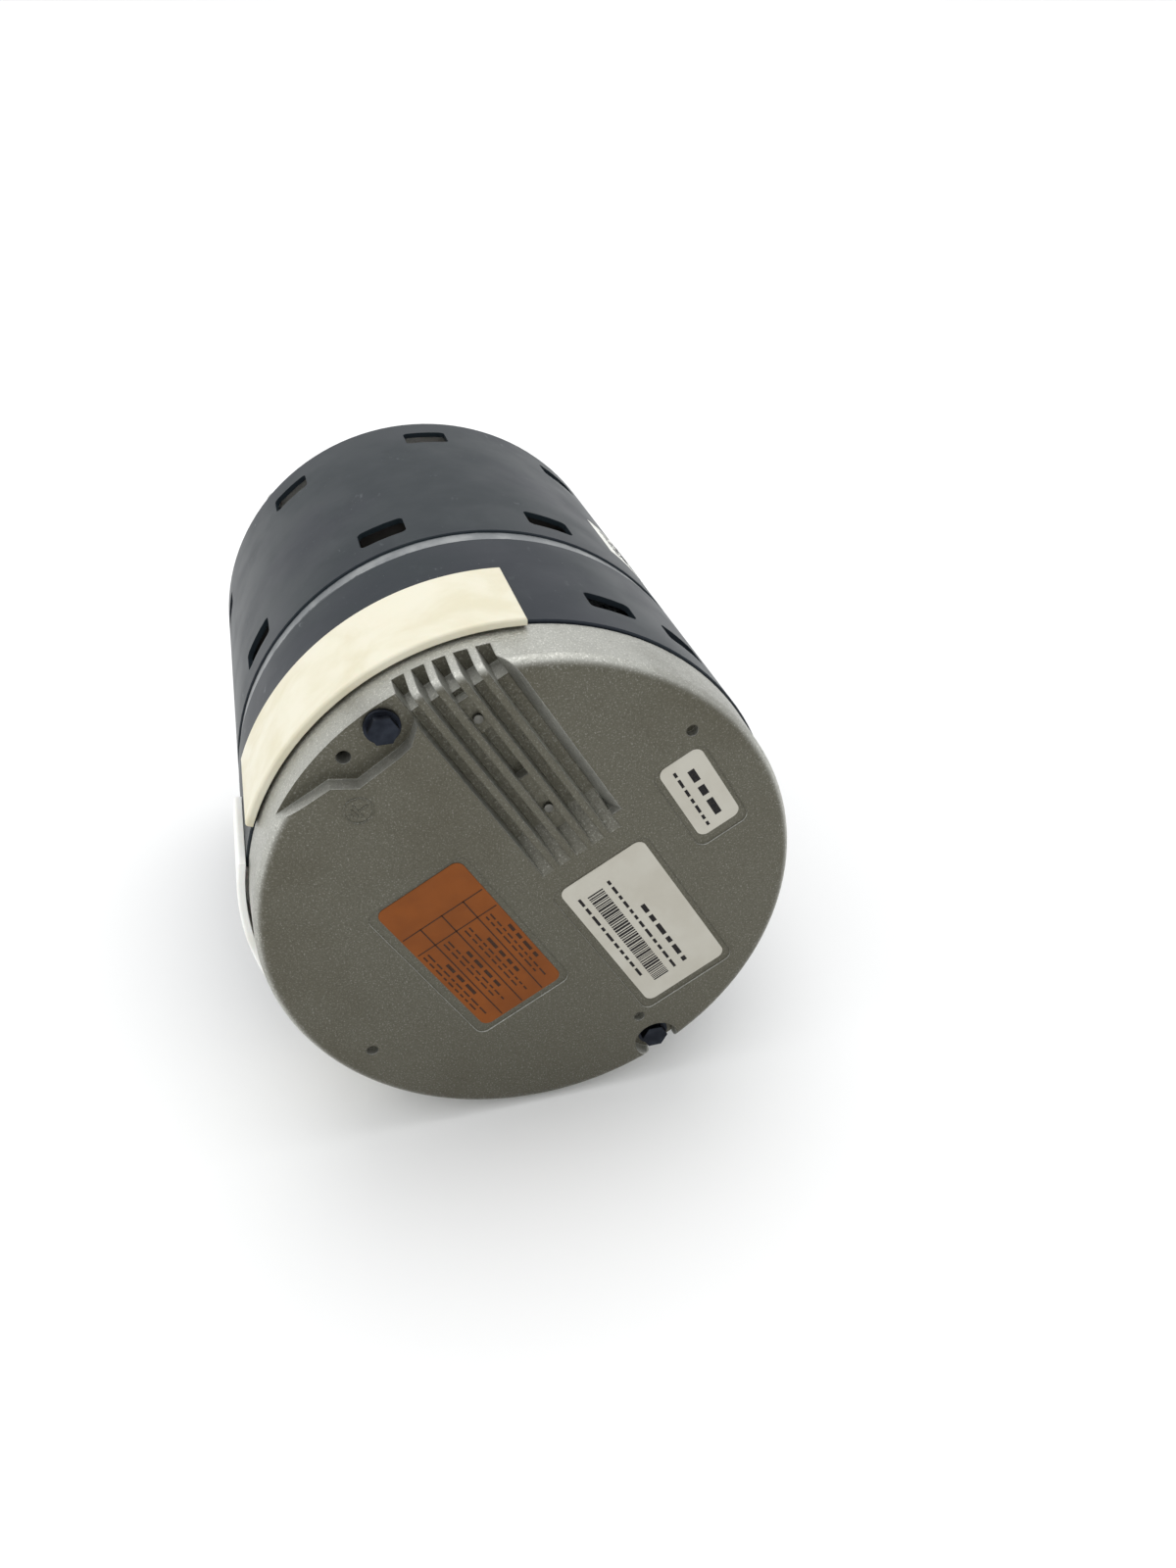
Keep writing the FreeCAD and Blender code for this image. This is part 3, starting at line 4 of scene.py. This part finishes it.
import bmesh
import bpy
from mathutils import Euler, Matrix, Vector


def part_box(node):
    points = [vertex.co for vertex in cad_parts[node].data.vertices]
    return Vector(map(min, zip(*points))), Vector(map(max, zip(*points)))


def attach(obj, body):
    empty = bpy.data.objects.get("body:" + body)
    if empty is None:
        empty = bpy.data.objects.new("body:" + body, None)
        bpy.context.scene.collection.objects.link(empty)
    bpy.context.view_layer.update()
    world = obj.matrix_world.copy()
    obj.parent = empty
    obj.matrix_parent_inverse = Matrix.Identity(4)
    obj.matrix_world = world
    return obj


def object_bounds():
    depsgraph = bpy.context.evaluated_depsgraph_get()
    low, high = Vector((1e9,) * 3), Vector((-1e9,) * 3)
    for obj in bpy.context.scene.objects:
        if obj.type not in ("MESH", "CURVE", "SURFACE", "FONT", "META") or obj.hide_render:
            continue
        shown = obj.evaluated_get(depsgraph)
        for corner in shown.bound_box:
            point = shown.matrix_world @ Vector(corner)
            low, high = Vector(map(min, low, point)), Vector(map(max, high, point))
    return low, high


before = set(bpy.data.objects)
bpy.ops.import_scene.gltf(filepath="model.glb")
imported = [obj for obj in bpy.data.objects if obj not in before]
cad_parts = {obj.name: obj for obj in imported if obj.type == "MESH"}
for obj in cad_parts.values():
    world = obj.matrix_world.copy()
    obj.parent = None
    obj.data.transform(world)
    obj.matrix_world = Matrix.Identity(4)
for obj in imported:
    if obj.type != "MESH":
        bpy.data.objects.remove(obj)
cad_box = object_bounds()

# The motor lies along Y with its control end towards -Y, and +Z is up. Lengths are in metres.
MM = 0.001
PRINT_HEIGHT = 0.02 * MM

# ---------------------------------------------------------------- places taken from the frame

FACE_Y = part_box("control_end_cap")[0].y  # the control end's flat face
RING_LOW_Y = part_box("control_shell")[1].y  # the bare ring between the two shells
RING_HIGH_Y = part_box("motor_shell")[0].y
FEATURE_ANGLE = math.radians(60)  # the grooves and labels are turned by this about the axis


def face_point(along, across, lift):
    """A point of the cap's face: along and across the cooling grooves, and out of the face."""
    cosine, sine = math.cos(FEATURE_ANGLE), math.sin(FEATURE_ANGLE)
    x = along * cosine + across * sine
    z = across * cosine - along * sine
    return Vector((x, FACE_Y - lift, z))


# ---------------------------------------------------------------- material tools


def linear(red, green, blue):
    """A colour given as 0 to 255 screen values, as the renderer's linear values."""
    values = []
    for value in (red, green, blue):
        value /= 255
        values.append(value / 12.92 if value <= 0.04045 else ((value + 0.055) / 1.055) ** 2.4)
    return (*values, 1.0)


class Material:
    """A node material built round one Principled shader."""

    def __init__(self, name, **values):
        self.material = bpy.data.materials.new(name)
        self.material.use_nodes = True
        self.tree = self.material.node_tree
        self.shader = self.tree.nodes["Principled BSDF"]
        for socket, value in values.items():
            self.shader.inputs[socket.replace("_", " ")].default_value = value
        coordinates = self.tree.nodes.new("ShaderNodeTexCoord").outputs
        self.place, self.facing = coordinates["Object"], coordinates["Normal"]

    def node(self, kind, inputs=None, **settings):
        """Adds a node; inputs are numbers or other nodes' outputs."""
        node = self.tree.nodes.new(kind)
        for name, value in settings.items():
            setattr(node, name, value)
        for name, value in (inputs or {}).items():
            if isinstance(value, bpy.types.NodeSocket):
                self.tree.links.new(value, node.inputs[name])
            else:
                node.inputs[name].default_value = value
        return node

    def feed(self, socket, value):
        """Links a value to one of the shader's sockets."""
        self.tree.links.new(value, self.shader.inputs[socket])

    def noise(self, size, detail=3.0, rough=0.55, place=None, distort=0.0):
        """Noise whose features are about this size, as a value from 0 to 1."""
        inputs = {"Vector": place or self.place, "Scale": 1 / size, "Detail": detail}
        inputs.update({"Roughness": rough, "Distortion": distort})
        return self.node("ShaderNodeTexNoise", inputs).outputs["Fac"]

    def stretched(self, x, y, z):
        """The place, scaled along each axis."""
        return self.node("ShaderNodeMapping", {"Vector": self.place, "Scale": (x, y, z)}).outputs[0]

    def step(self, value, low, high, start=0.0, end=1.0):
        """A smooth step from start to end as the value goes from low to high."""
        inputs = {0: value, 1: low, 2: high, 3: start, 4: end}
        return self.node("ShaderNodeMapRange", inputs, interpolation_type="SMOOTHSTEP").outputs[0]

    def combine(self, first, second, operation="ADD"):
        """Two values put together by one operation."""
        return self.node("ShaderNodeMath", {0: first, 1: second}, operation=operation).outputs[0]

    def mix(self, painted_glint_share, first, second):
        """A colour between two others."""
        inputs = {0: painted_glint_share, 6: first, 7: second}
        return self.node("ShaderNodeMix", inputs, data_type="RGBA").outputs[2]

    def bump(self, height, depth, normal=None):
        """A normal that follows a height of 0 to 1 times a depth in metres."""
        inputs = {"Height": height, "Distance": depth, "Strength": 1.0}
        if normal is not None:
            inputs["Normal"] = normal
        return self.node("ShaderNodeBump", inputs).outputs[0]

    def split(self, place=None):
        """The x, y and z of a place or a direction."""
        return self.node("ShaderNodeSeparateXYZ", {0: place or self.place}).outputs

    def soft_edge(self, radius):
        """A normal that rounds sharp edges a little."""
        node = self.tree.nodes.new("ShaderNodeBevel")
        node.samples = 4
        node.inputs["Radius"].default_value = radius
        return node.outputs[0]


# ---------------------------------------------------------------- materials


def cast_metal(name, painted_shade_tone, lit_tone, grime):
    """Die-cast aluminium: fine sparkling grain that is partly painted glint, painted shade that darkens
    faces towards -Y such as the flat end, and faint stains.
    """
    m = Material(name, Metallic=0.75)
    # Painted shade: faces towards -Y take the darker tone, and all other faces take the lighter lit tone.
    painted_shade_facing = m.step(m.split(m.facing)["Y"], -0.97, -0.6, 1.0, 0.0)
    tone = m.mix(painted_shade_facing, lit_tone, painted_shade_tone)
    speckle = m.noise(0.45 * MM, 2, 0.7)
    # Grain flecks, partly real grain and partly painted glint: much stronger on the sides than on faces
    # towards -Y.
    painted_glint_share = m.combine(0.8, m.combine(painted_shade_facing, 0.62, "MULTIPLY"), "SUBTRACT")
    grain_and_painted_glint = m.combine(m.step(speckle, 0.52, 0.74), painted_glint_share, "MULTIPLY")
    tone = m.mix(grain_and_painted_glint, tone, linear(226, 225, 218))
    pits = m.step(m.noise(0.9 * MM, 3, 0.6), 0.28, 0.4, 0.3, 0.0)
    tone = m.mix(pits, tone, grime)
    cloud = m.step(m.noise(30 * MM, 4, distort=0.4), 0.42, 0.7, 0.0, 0.28)
    tone = m.mix(cloud, tone, grime)
    m.feed("Base Color", tone)
    fine = m.noise(0.8 * MM, 3, 0.65)
    m.feed("Roughness", m.step(fine, 0.3, 0.7, 0.34, 0.58))
    grain = m.bump(fine, 0.13 * MM, m.soft_edge(0.6 * MM))
    m.feed("Normal", m.bump(m.noise(4 * MM, 2), 0.10 * MM, grain))
    return m.material


def enamel(name, base, dusty, violet):
    """Slate grey enamel with faint orange peel, dust, rubs, specks and a few pale scuffs."""
    m = Material(name, Metallic=0.0, Specular_IOR_Level=0.12, Coat_Weight=0.03, Coat_Roughness=0.25)
    tint = m.mix(m.step(m.noise(48 * MM, 2), 0.4, 0.65, 0.0, 0.5), base, violet)
    dust = m.step(m.noise(17 * MM, 7, 0.66, distort=0.8), 0.5, 0.76, 0.0, 0.3)
    tint = m.mix(dust, tint, dusty)
    rubs = m.noise(2.4 * MM, 4, 0.6, m.stretched(1.0, 0.35, 1.0), 0.4)
    patches = m.step(m.noise(19 * MM, 2), 0.54, 0.66)
    scuff = m.combine(m.step(rubs, 0.6, 0.74), patches, "MULTIPLY")
    tint = m.mix(m.combine(scuff, 0.45, "MULTIPLY"), tint, linear(112, 116, 119))
    specks = m.combine(m.step(m.noise(0.9 * MM, 2), 0.72, 0.78), patches, "MULTIPLY")
    tint = m.mix(m.combine(specks, 0.6, "MULTIPLY"), tint, linear(168, 170, 170))
    m.feed("Base Color", tint)
    m.feed("Roughness", m.step(m.noise(20 * MM, 3, 0.5), 0.3, 0.75, 0.36, 0.44))
    m.feed("Normal", m.bump(m.noise(1.3 * MM, 2), 0.008 * MM, m.soft_edge(0.3 * MM)))
    return m.material


def plastic(name, base, warm, rough=0.42):
    """Moulded plastic, faintly mottled, with a little dirt."""
    m = Material(name, Metallic=0.0, Subsurface_Weight=0.04, Subsurface_Scale=1.5 * MM)
    tint = m.mix(m.step(m.noise(16 * MM, 4, distort=0.5), 0.35, 0.7), base, warm)
    dirt = m.step(m.noise(3.5 * MM, 5, 0.7), 0.66, 0.8, 0.0, 0.25)
    m.feed("Base Color", m.mix(dirt, tint, linear(176, 160, 126)))
    m.feed("Roughness", m.step(m.noise(7 * MM, 3), 0.3, 0.7, rough - 0.08, rough + 0.1))
    m.feed("Normal", m.bump(m.noise(1.1 * MM, 3), 0.015 * MM, m.soft_edge(0.35 * MM)))
    return m.material


def film(name, base, aged):
    """Printed label film: a little uneven, with fine wrinkles."""
    m = Material(name, Metallic=0.0, Specular_IOR_Level=0.2)
    m.feed("Base Color", m.mix(m.step(m.noise(12 * MM, 4), 0.35, 0.7), base, aged))
    m.feed("Roughness", m.step(m.noise(4 * MM, 3), 0.3, 0.7, 0.38, 0.5))
    m.feed("Normal", m.bump(m.noise(6 * MM, 2), 0.03 * MM))
    return m.material


def ink(name, colour):
    """Printed ink that lets a little of the film's tone through."""
    m = Material(name, Metallic=0.0, Roughness=0.6, Specular_IOR_Level=0.1)
    thin = m.step(m.noise(0.6 * MM, 3), 0.4, 0.8, 0.0, 0.25)
    m.feed("Base Color", m.mix(thin, colour, linear(96, 84, 74)))
    return m.material


def steel(name, base, light, rough):
    """Plated steel, a little blotchy."""
    m = Material(name, Metallic=1.0)
    m.feed("Base Color", m.mix(m.step(m.noise(4 * MM, 4), 0.35, 0.7), base, light))
    m.feed("Roughness", m.step(m.noise(2 * MM, 4), 0.3, 0.7, rough - 0.06, rough + 0.12))
    m.feed("Normal", m.soft_edge(0.2 * MM))
    return m.material


def turned_steel(name, base, light, rough):
    """Ground steel, with faint marks round the shaft axis and oil stains."""
    m = Material(name, Metallic=1.0)
    turned = m.noise(2.4 * MM, 2, 0.5, m.stretched(0.01, 1.0, 0.01))
    tone = m.mix(m.step(turned, 0.3, 0.75), base, light)
    stain = m.step(m.noise(18 * MM, 3), 0.5, 0.75, 0.0, 0.3)
    m.feed("Base Color", m.mix(stain, tone, linear(132, 124, 112)))
    m.feed("Roughness", m.step(m.noise(9 * MM, 3), 0.3, 0.7, rough - 0.02, rough + 0.05))
    m.feed("Normal", m.soft_edge(0.2 * MM))
    return m.material


def windings(name):
    """Enamelled copper wire laid side by side, with varnish."""
    m = Material(name, Metallic=0.85, Coat_Weight=0.5, Coat_Roughness=0.2)
    inputs = {"Vector": m.place, "Scale": 1 / (5.5 * MM)}
    inputs.update({"Distortion": 1.2, "Detail": 1.0, "Detail Scale": 60.0})
    turns = m.node("ShaderNodeTexWave", inputs, bands_direction="DIAGONAL").outputs["Fac"]
    m.feed("Base Color", m.mix(turns, linear(92, 44, 22), linear(196, 112, 62)))
    m.feed("Roughness", m.step(m.noise(2 * MM, 2), 0.3, 0.7, 0.25, 0.4))
    m.feed("Normal", m.bump(turns, 0.3 * MM))
    return m.material


def plain_rubber(name, base, light, rough=0.7):
    """Dull rubber, resin or ferrite with a fine matt grain."""
    m = Material(name, Metallic=0.0)
    m.feed("Base Color", m.mix(m.step(m.noise(5 * MM, 4), 0.4, 0.7), base, light))
    m.feed("Roughness", m.step(m.noise(1.5 * MM, 3), 0.3, 0.7, rough - 0.1, rough + 0.1))
    m.feed("Normal", m.bump(m.noise(0.9 * MM, 3), 0.04 * MM))
    return m.material


def laminations(name):
    """Stacked steel sheets seen edge on."""
    m = Material(name, Metallic=0.8)
    sheets = m.noise(0.5 * MM, 1, 0.4, m.stretched(0.01, 1.0, 0.01))
    m.feed("Base Color", m.mix(m.step(sheets, 0.35, 0.65), linear(52, 50, 50), linear(104, 100, 96)))
    m.feed("Roughness", m.step(m.noise(3 * MM, 3), 0.3, 0.7, 0.4, 0.6))
    m.feed("Normal", m.bump(sheets, 0.1 * MM))
    return m.material


# ---------------------------------------------------------------- dressing the CAD nodes


def dress(material, *names):
    """Gives CAD nodes a material."""
    for name in names:
        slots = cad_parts[name].data.materials
        slots.clear()
        slots.append(material)


SLATE = linear(30, 38, 43)
SLATE_DUST = linear(56, 62, 64)
SLATE_VIOLET = linear(40, 42, 51)
CAP_CAST = (linear(92, 90, 79), linear(172, 172, 165), linear(72, 67, 53))  # painted-shade tone for faces towards -Y, lit tone for the other faces, and grime
# The same order here: painted-shade tone for faces towards -Y, lit tone, and grime.
PLAIN_CAST = (linear(140, 140, 138), linear(176, 176, 174), linear(104, 102, 98))


def dress_casing():
    """Dresses the outside and returns the cap's metal, for the ground mark."""
    cap = cast_metal("cap_cast", *CAP_CAST)
    dress(cap, "control_end_cap")
    dress(enamel("enamel", SLATE, SLATE_DUST, SLATE_VIOLET), "motor_shell", "control_shell")
    dress(ring_material(), "mid_end_shield")
    dress(cast_metal("drive_cast", *PLAIN_CAST), "drive_end_shield")
    dress(plain_rubber("gasket", linear(22, 22, 22), linear(40, 40, 40)), "cap_gasket", "shaft_slinger")
    cream = plastic("cream_plastic", linear(226, 221, 200), linear(216, 209, 182))
    dress(cream, "terminal_cover", "film_capacitor")
    white = plastic("white_plastic", linear(250, 250, 246), linear(240, 239, 230))
    dress(white, "connector_housing", "phase_plug", "rear_stator_insulator", "front_stator_insulator")
    dress(white, "thermal_pad")
    return cap


def ring_material():
    """The bare machined ring, with paint that has crept over its edges."""
    m = Material("ring_metal", Metallic=0.9)
    turned = m.noise(0.4 * MM, 2, 0.5, m.stretched(0.03, 1.0, 0.03))
    blotches = m.step(m.noise(8 * MM, 4), 0.35, 0.7)
    metal = m.mix(blotches, linear(130, 133, 135), linear(160, 162, 162))
    ragged = m.noise(2.6 * MM, 4, 0.65)
    drift = m.noise(30 * MM, 2)
    edge = m.combine(m.combine(ragged, 2.2 * MM, "MULTIPLY"), m.combine(drift, 5.5 * MM, "MULTIPLY"))
    y = m.split()["Y"]
    low = m.combine(y, edge, "SUBTRACT")
    low_paint = m.step(low, RING_LOW_Y - 2.75 * MM, RING_LOW_Y - 2.45 * MM, 1.0, 0.0)
    high = m.combine(y, m.combine(ragged, 0.8 * MM, "MULTIPLY"))
    high_paint = m.step(high, RING_HIGH_Y - 0.25 * MM, RING_HIGH_Y - 0.1 * MM)
    painted = m.combine(low_paint, high_paint, "MAXIMUM")
    m.feed("Base Color", m.mix(painted, metal, SLATE))
    m.feed("Metallic", m.combine(0.9, m.combine(painted, 0.9, "MULTIPLY"), "SUBTRACT"))
    m.feed("Roughness", m.step(m.noise(3 * MM, 3), 0.3, 0.7, 0.34, 0.5))
    m.feed("Normal", m.bump(turned, 0.03 * MM))
    return m.material


def dress_labels():
    orange = film("orange_film", linear(128, 68, 16), linear(117, 61, 13))
    dress(orange, "warning_label")
    white = film("white_film", linear(188, 185, 174), linear(181, 177, 165))
    dress(white, "rating_label", "small_label")
    dress(film("shell_film", linear(236, 236, 230), linear(220, 219, 210)), "shell_label")


def dress_fasteners():
    black = steel("black_oxide", linear(34, 37, 44), linear(52, 56, 64), 0.4)
    dress(black, "control_bolts", "shaft_retaining_ring")
    zinc = steel("zinc", linear(160, 162, 164), linear(196, 196, 192), 0.32)
    dress(zinc, "through_bolts", "board_screws", "board_standoffs", "module_clamp")
    dress(steel("dull_rivets", linear(92, 91, 86), linear(120, 119, 114), 0.4), "module_rivets")
    brass = steel("brass_pins", linear(196, 172, 110), linear(214, 196, 140), 0.28)
    dress(brass, "power_pins", "signal_pins")


def dress_running_parts():
    dress(turned_steel("shaft_steel", linear(170, 172, 175), linear(180, 182, 184), 0.26), "shaft")
    race = steel("race_steel", linear(170, 172, 176), linear(206, 208, 210), 0.16)
    for end in ("rear", "front"):
        for piece in ("outer_race", "inner_race", "balls", "cage", "shields"):
            dress(race, f"{end}_bearing_{piece}")
    dress(steel("spring_steel", linear(120, 118, 112), linear(160, 156, 148), 0.3), "preload_spring")
    dress(cast_metal("hub_cast", *PLAIN_CAST), "rotor_hub")
    dress(plain_rubber("isolator", linear(26, 26, 28), linear(44, 44, 46)), "rotor_isolator")
    dress(plain_rubber("ferrite", linear(48, 46, 46), linear(66, 64, 62), 0.5), "rotor_magnets")
    dress(laminations("laminations"), "rotor_core", "stator_core")
    wire = windings("copper_wire")
    dress(wire, "winding_phase_a", "winding_phase_b", "winding_phase_c", "line_choke")


def dress_electronics():
    dress(plastic("solder_mask", linear(28, 84, 48), linear(24, 70, 42), 0.3), "control_board")
    dress(plain_rubber("black_parts", linear(28, 28, 30), linear(44, 44, 46), 0.4), "bus_capacitors")
    chip = plain_rubber("chip_body", linear(24, 24, 26), linear(40, 40, 42), 0.5)
    dress(chip, "control_chips", "power_module")
    dress(plastic("lead_sleeve", linear(176, 40, 32), linear(150, 32, 28)), "phase_leads")


# ---------------------------------------------------------------- small pieces made here

# Sizes and places on the cap's face are in mm: u along the cooling grooves, v across them, from the axis.
# A bar is its low u, high u, low v and high v.
# A row of dashes is its low u, high u, foot, height and the length of a dash.
WARNING_PRINT = (-24.8, 24.7, -32.0, -7.2)  # the printed part of the warning label
RULE_WIDTH = 0.35
DASH_GAP = 0.35  # the gap between two dashes, as a share of the row's dash length
STRIP = (7.0, 44.0, 11.2, 15.8)  # the strip of narrow bars on the rating label
GROUND_MARK = (-51.5, -17.0)  # its middle
GROUND_MARK_HEIGHT = 0.25 * MM
RING_SIDES = 40


def raised_bar(shape, bar, lift, height, point=face_point):
    """Adds a thin raised bar to a mesh, on the cap's face or where another point function puts it."""
    low_u, high_u, low_v, high_v = bar
    corners = ((low_u, low_v), (high_u, low_v), (high_u, high_v), (low_u, high_v))
    below, above = (
        [shape.verts.new(point(u * MM, v * MM, lift + rise)) for u, v in corners] for rise in (0.0, height)
    )
    shape.faces.new(above)
    shape.faces.new(reversed(below))
    for i in range(4):
        j = (i + 1) % 4
        shape.faces.new((below[i], below[j], above[j], above[i]))


def raised_piece(name, shape, material):
    """Turns a mesh into a piece that stays with the housing."""
    bmesh.ops.recalc_face_normals(shape, faces=shape.faces)
    mesh = bpy.data.meshes.new(name)
    shape.to_mesh(mesh)
    shape.free()
    mesh.materials.append(material)
    piece = bpy.data.objects.new(name, mesh)
    bpy.context.scene.collection.objects.link(piece)
    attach(piece, "housing")


def printed_bars(name, bars, label, material):
    """Ink laid on one of the cap's labels as thin bars."""
    shape = bmesh.new()
    for bar in bars:
        raised_bar(shape, bar, FACE_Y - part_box(label)[0].y, PRINT_HEIGHT)
    raised_piece(name, shape, material)


def dashes(rows):
    """Rows of short bars in place of words."""
    lengths = random.Random(7)
    bars = []
    for low_u, high_u, low_v, height, dash in rows:
        start = low_u
        while start < high_u - 0.4 * dash:
            end = min(start + dash * lengths.uniform(0.5, 1.4), high_u)
            bars.append((start, end, low_v, low_v + height))
            start = end + DASH_GAP * dash
    return bars


def make_warning_print():
    """Ruled cells and rows of dashes on the orange label, with no lettering."""
    dark = ink("ink_dark", linear(58, 40, 30))
    low_u, high_u, low_v, high_v = WARNING_PRINT
    bars = []
    for v in (-26.4, -20.0, -13.6):
        bars.append((low_u + 11, high_u - 0.5, v, v + RULE_WIDTH))
    for u in (low_u + 11, low_u + 17.5):
        bars.append((u, u + RULE_WIDTH, low_v + 0.5, high_v - 0.5))
    rows = []
    for foot in (-12.2, -18.6, -25.0, -31.2):
        rows.append((low_u + 25, high_u - 9, foot + 3.1, 0.9, 3.4))
        rows.append((low_u + 19, high_u - 3, foot + 1.6, 0.45, 2.4))
        rows.append((low_u + 19, high_u - 6, foot + 0.3, 0.45, 2.4))
    printed_bars("warning_label_print", bars + dashes(rows), "warning_label", dark)


def make_rating_print():
    """Rows of dashes and a strip of narrow bars on the white labels, with no lettering."""
    black = ink("ink_black", linear(30, 30, 32))
    rows = [(19.0, 44.0, 20.6, 1.3, 4.0), (6.0, 44.0, 17.6, 0.8, 2.8), (6.0, 40.0, 8.8, 0.8, 2.8)]
    bars = dashes(rows)
    widths = random.Random(11)
    start, end, low_v, high_v = STRIP
    while start < end:
        width = widths.choice((0.3, 0.45, 0.75))
        bars.append((start, start + width, low_v, high_v))
        start += width + widths.choice((0.3, 0.45))
    printed_bars("rating_label_print", bars, "rating_label", black)
    rows = [(-9.0, 8.0, 50.0, 1.9, 5.0), (-11.0, 8.6, 46.8, 0.8, 2.8)]
    printed_bars("small_label_print", dashes(rows), "small_label", black)


def make_shell_print():
    """Rows of dashes that run round the shell on its label."""
    low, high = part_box("shell_label")
    radius = high.x
    start = math.atan2(low.x, high.z)

    def point(around, along, lift):
        clock = start + around / radius
        out = radius + lift
        return Vector((out * math.sin(clock), low.y + along, out * math.cos(clock)))

    rows = [(4.0, 34.0, 22.2, 1.7, 5.0), (44.0, 70.0, 22.2, 1.7, 5.0)]
    for foot in (18.4, 15.6, 12.8, 10.0, 7.2, 4.4):
        rows.append((4.0, 30.0, foot, 0.9, 3.0))
        rows.append((36.0, 70.0 - foot, foot, 0.9, 3.0))
    shape = bmesh.new()
    for bar in dashes(rows):
        raised_bar(shape, bar, 0.0, 4 * PRINT_HEIGHT, point)
    raised_piece("shell_label_print", shape, ink("ink_grey", linear(52, 52, 56)))


def ring_on_face(shape, centre, outer, inner, height):
    """Adds a flat ring on the cap's face to a mesh."""
    loops = []
    for radius, rise in ((outer, 0.0), (outer, height), (inner, height), (inner, 0.0)):
        loop = []
        for i in range(RING_SIDES):
            turn = 2 * math.pi * i / RING_SIDES
            u, v = centre[0] + radius * math.cos(turn), centre[1] + radius * math.sin(turn)
            loop.append(shape.verts.new(face_point(u * MM, v * MM, rise)))
        loops.append(loop)
    for k in range(4):
        near, far = loops[k], loops[(k + 1) % 4]
        for i in range(RING_SIDES):
            j = (i + 1) % RING_SIDES
            shape.faces.new((near[i], near[j], far[j], far[i]))


def make_ground_mark(metal):
    """The plain ground symbol, cast proud of the face beside the ground screw's hole."""
    u, v = GROUND_MARK
    shape = bmesh.new()
    ring_on_face(shape, GROUND_MARK, 3.6, 3.1, GROUND_MARK_HEIGHT)
    raised_bar(shape, (u - 0.2, u + 0.2, v, v + 2.6), 0.0, GROUND_MARK_HEIGHT)
    for drop, half in ((0.0, 2.0), (-0.9, 1.3), (-1.8, 0.6)):
        raised_bar(shape, (u - half, u + half, v + drop - 0.4, v + drop), 0.0, GROUND_MARK_HEIGHT)
    raised_piece("ground_mark", shape, metal)


# ---------------------------------------------------------------- stage, lights and camera

FLOOR_RADIUS = 60.0
SUN_FROM = Vector((0.1, 0.3, 1.0))
ROOM_COLOUR, ROOM_STRENGTH = (0.98, 0.99, 1.0, 1), 0.94
# The camera as solved from the photo. The lens and the sensor's width are in mm.
CAMERA_PLACE = (-0.04899, -0.36744, 0.19153)
CAMERA_AZIMUTH, CAMERA_ELEVATION = math.radians(-15.895), math.radians(33.583)
LENS, SENSOR_WIDTH = 28.125, 36.0
SHIFT_X, SHIFT_Y = -0.0138, 0.0142


def make_stage():
    """A wide, round paper floor under the part."""
    floor_mesh = bpy.data.meshes.new("floor")
    shape = bmesh.new()
    bmesh.ops.create_circle(shape, cap_ends=True, segments=96, radius=FLOOR_RADIUS)
    shape.to_mesh(floor_mesh)
    shape.free()
    floor = bpy.data.objects.new("floor", floor_mesh)
    floor.location = (0, 0, cad_box[0].z)
    bpy.context.scene.collection.objects.link(floor)
    m = Material("floor_paper", Roughness=0.9, Specular_IOR_Level=0.1)
    m.feed("Base Color", m.mix(m.noise(0.4, 3), (0.90, 0.90, 0.895, 1), (0.93, 0.93, 0.925, 1)))
    floor_mesh.materials.append(m.material)


def add_lamp(data, place, target):
    """Puts a lamp at a place, turned towards a target."""
    lamp = bpy.data.objects.new(data.name, data)
    lamp.location = place
    lamp.rotation_euler = (target - place).to_track_quat("-Z", "Y").to_euler()
    bpy.context.scene.collection.objects.link(lamp)


def make_lights():
    """A broad overhead light, a small panel on the left and an even, pale room."""
    centre = Vector((0, 0, 0))
    overhead = bpy.data.lights.new("overhead", "SUN")
    overhead.energy = 1.0
    overhead.angle = math.radians(55)
    add_lamp(overhead, SUN_FROM, centre)
    panel = bpy.data.lights.new("left_panel", "AREA")
    panel.shape = "RECTANGLE"
    panel.size, panel.size_y = 1.0, 0.8
    panel.energy = 1.5
    add_lamp(panel, Vector((-1.2, 0.1, 0.35)), centre)
    world = bpy.data.worlds.new("studio")
    world.use_nodes = True
    room = world.node_tree.nodes["Background"].inputs
    room["Color"].default_value = ROOM_COLOUR
    room["Strength"].default_value = ROOM_STRENGTH
    bpy.context.scene.world = world


def make_camera():
    """The photo's own view."""
    data = bpy.data.cameras.new("camera")
    data.sensor_width, data.lens = SENSOR_WIDTH, LENS
    data.shift_x, data.shift_y = SHIFT_X, SHIFT_Y
    data.clip_start, data.clip_end = 0.01, 200.0
    camera = bpy.data.objects.new("camera", data)
    camera.location = CAMERA_PLACE
    camera.rotation_euler = Euler((math.pi / 2 - CAMERA_ELEVATION, 0, CAMERA_AZIMUTH))
    bpy.context.scene.collection.objects.link(camera)
    bpy.context.scene.camera = camera


make_camera()
make_stage()
make_lights()
make_ground_mark(dress_casing())
dress_labels()
dress_fasteners()
dress_running_parts()
dress_electronics()
make_warning_print()
make_rating_print()
make_shell_print()
bpy.context.scene.view_settings.view_transform = "Standard"
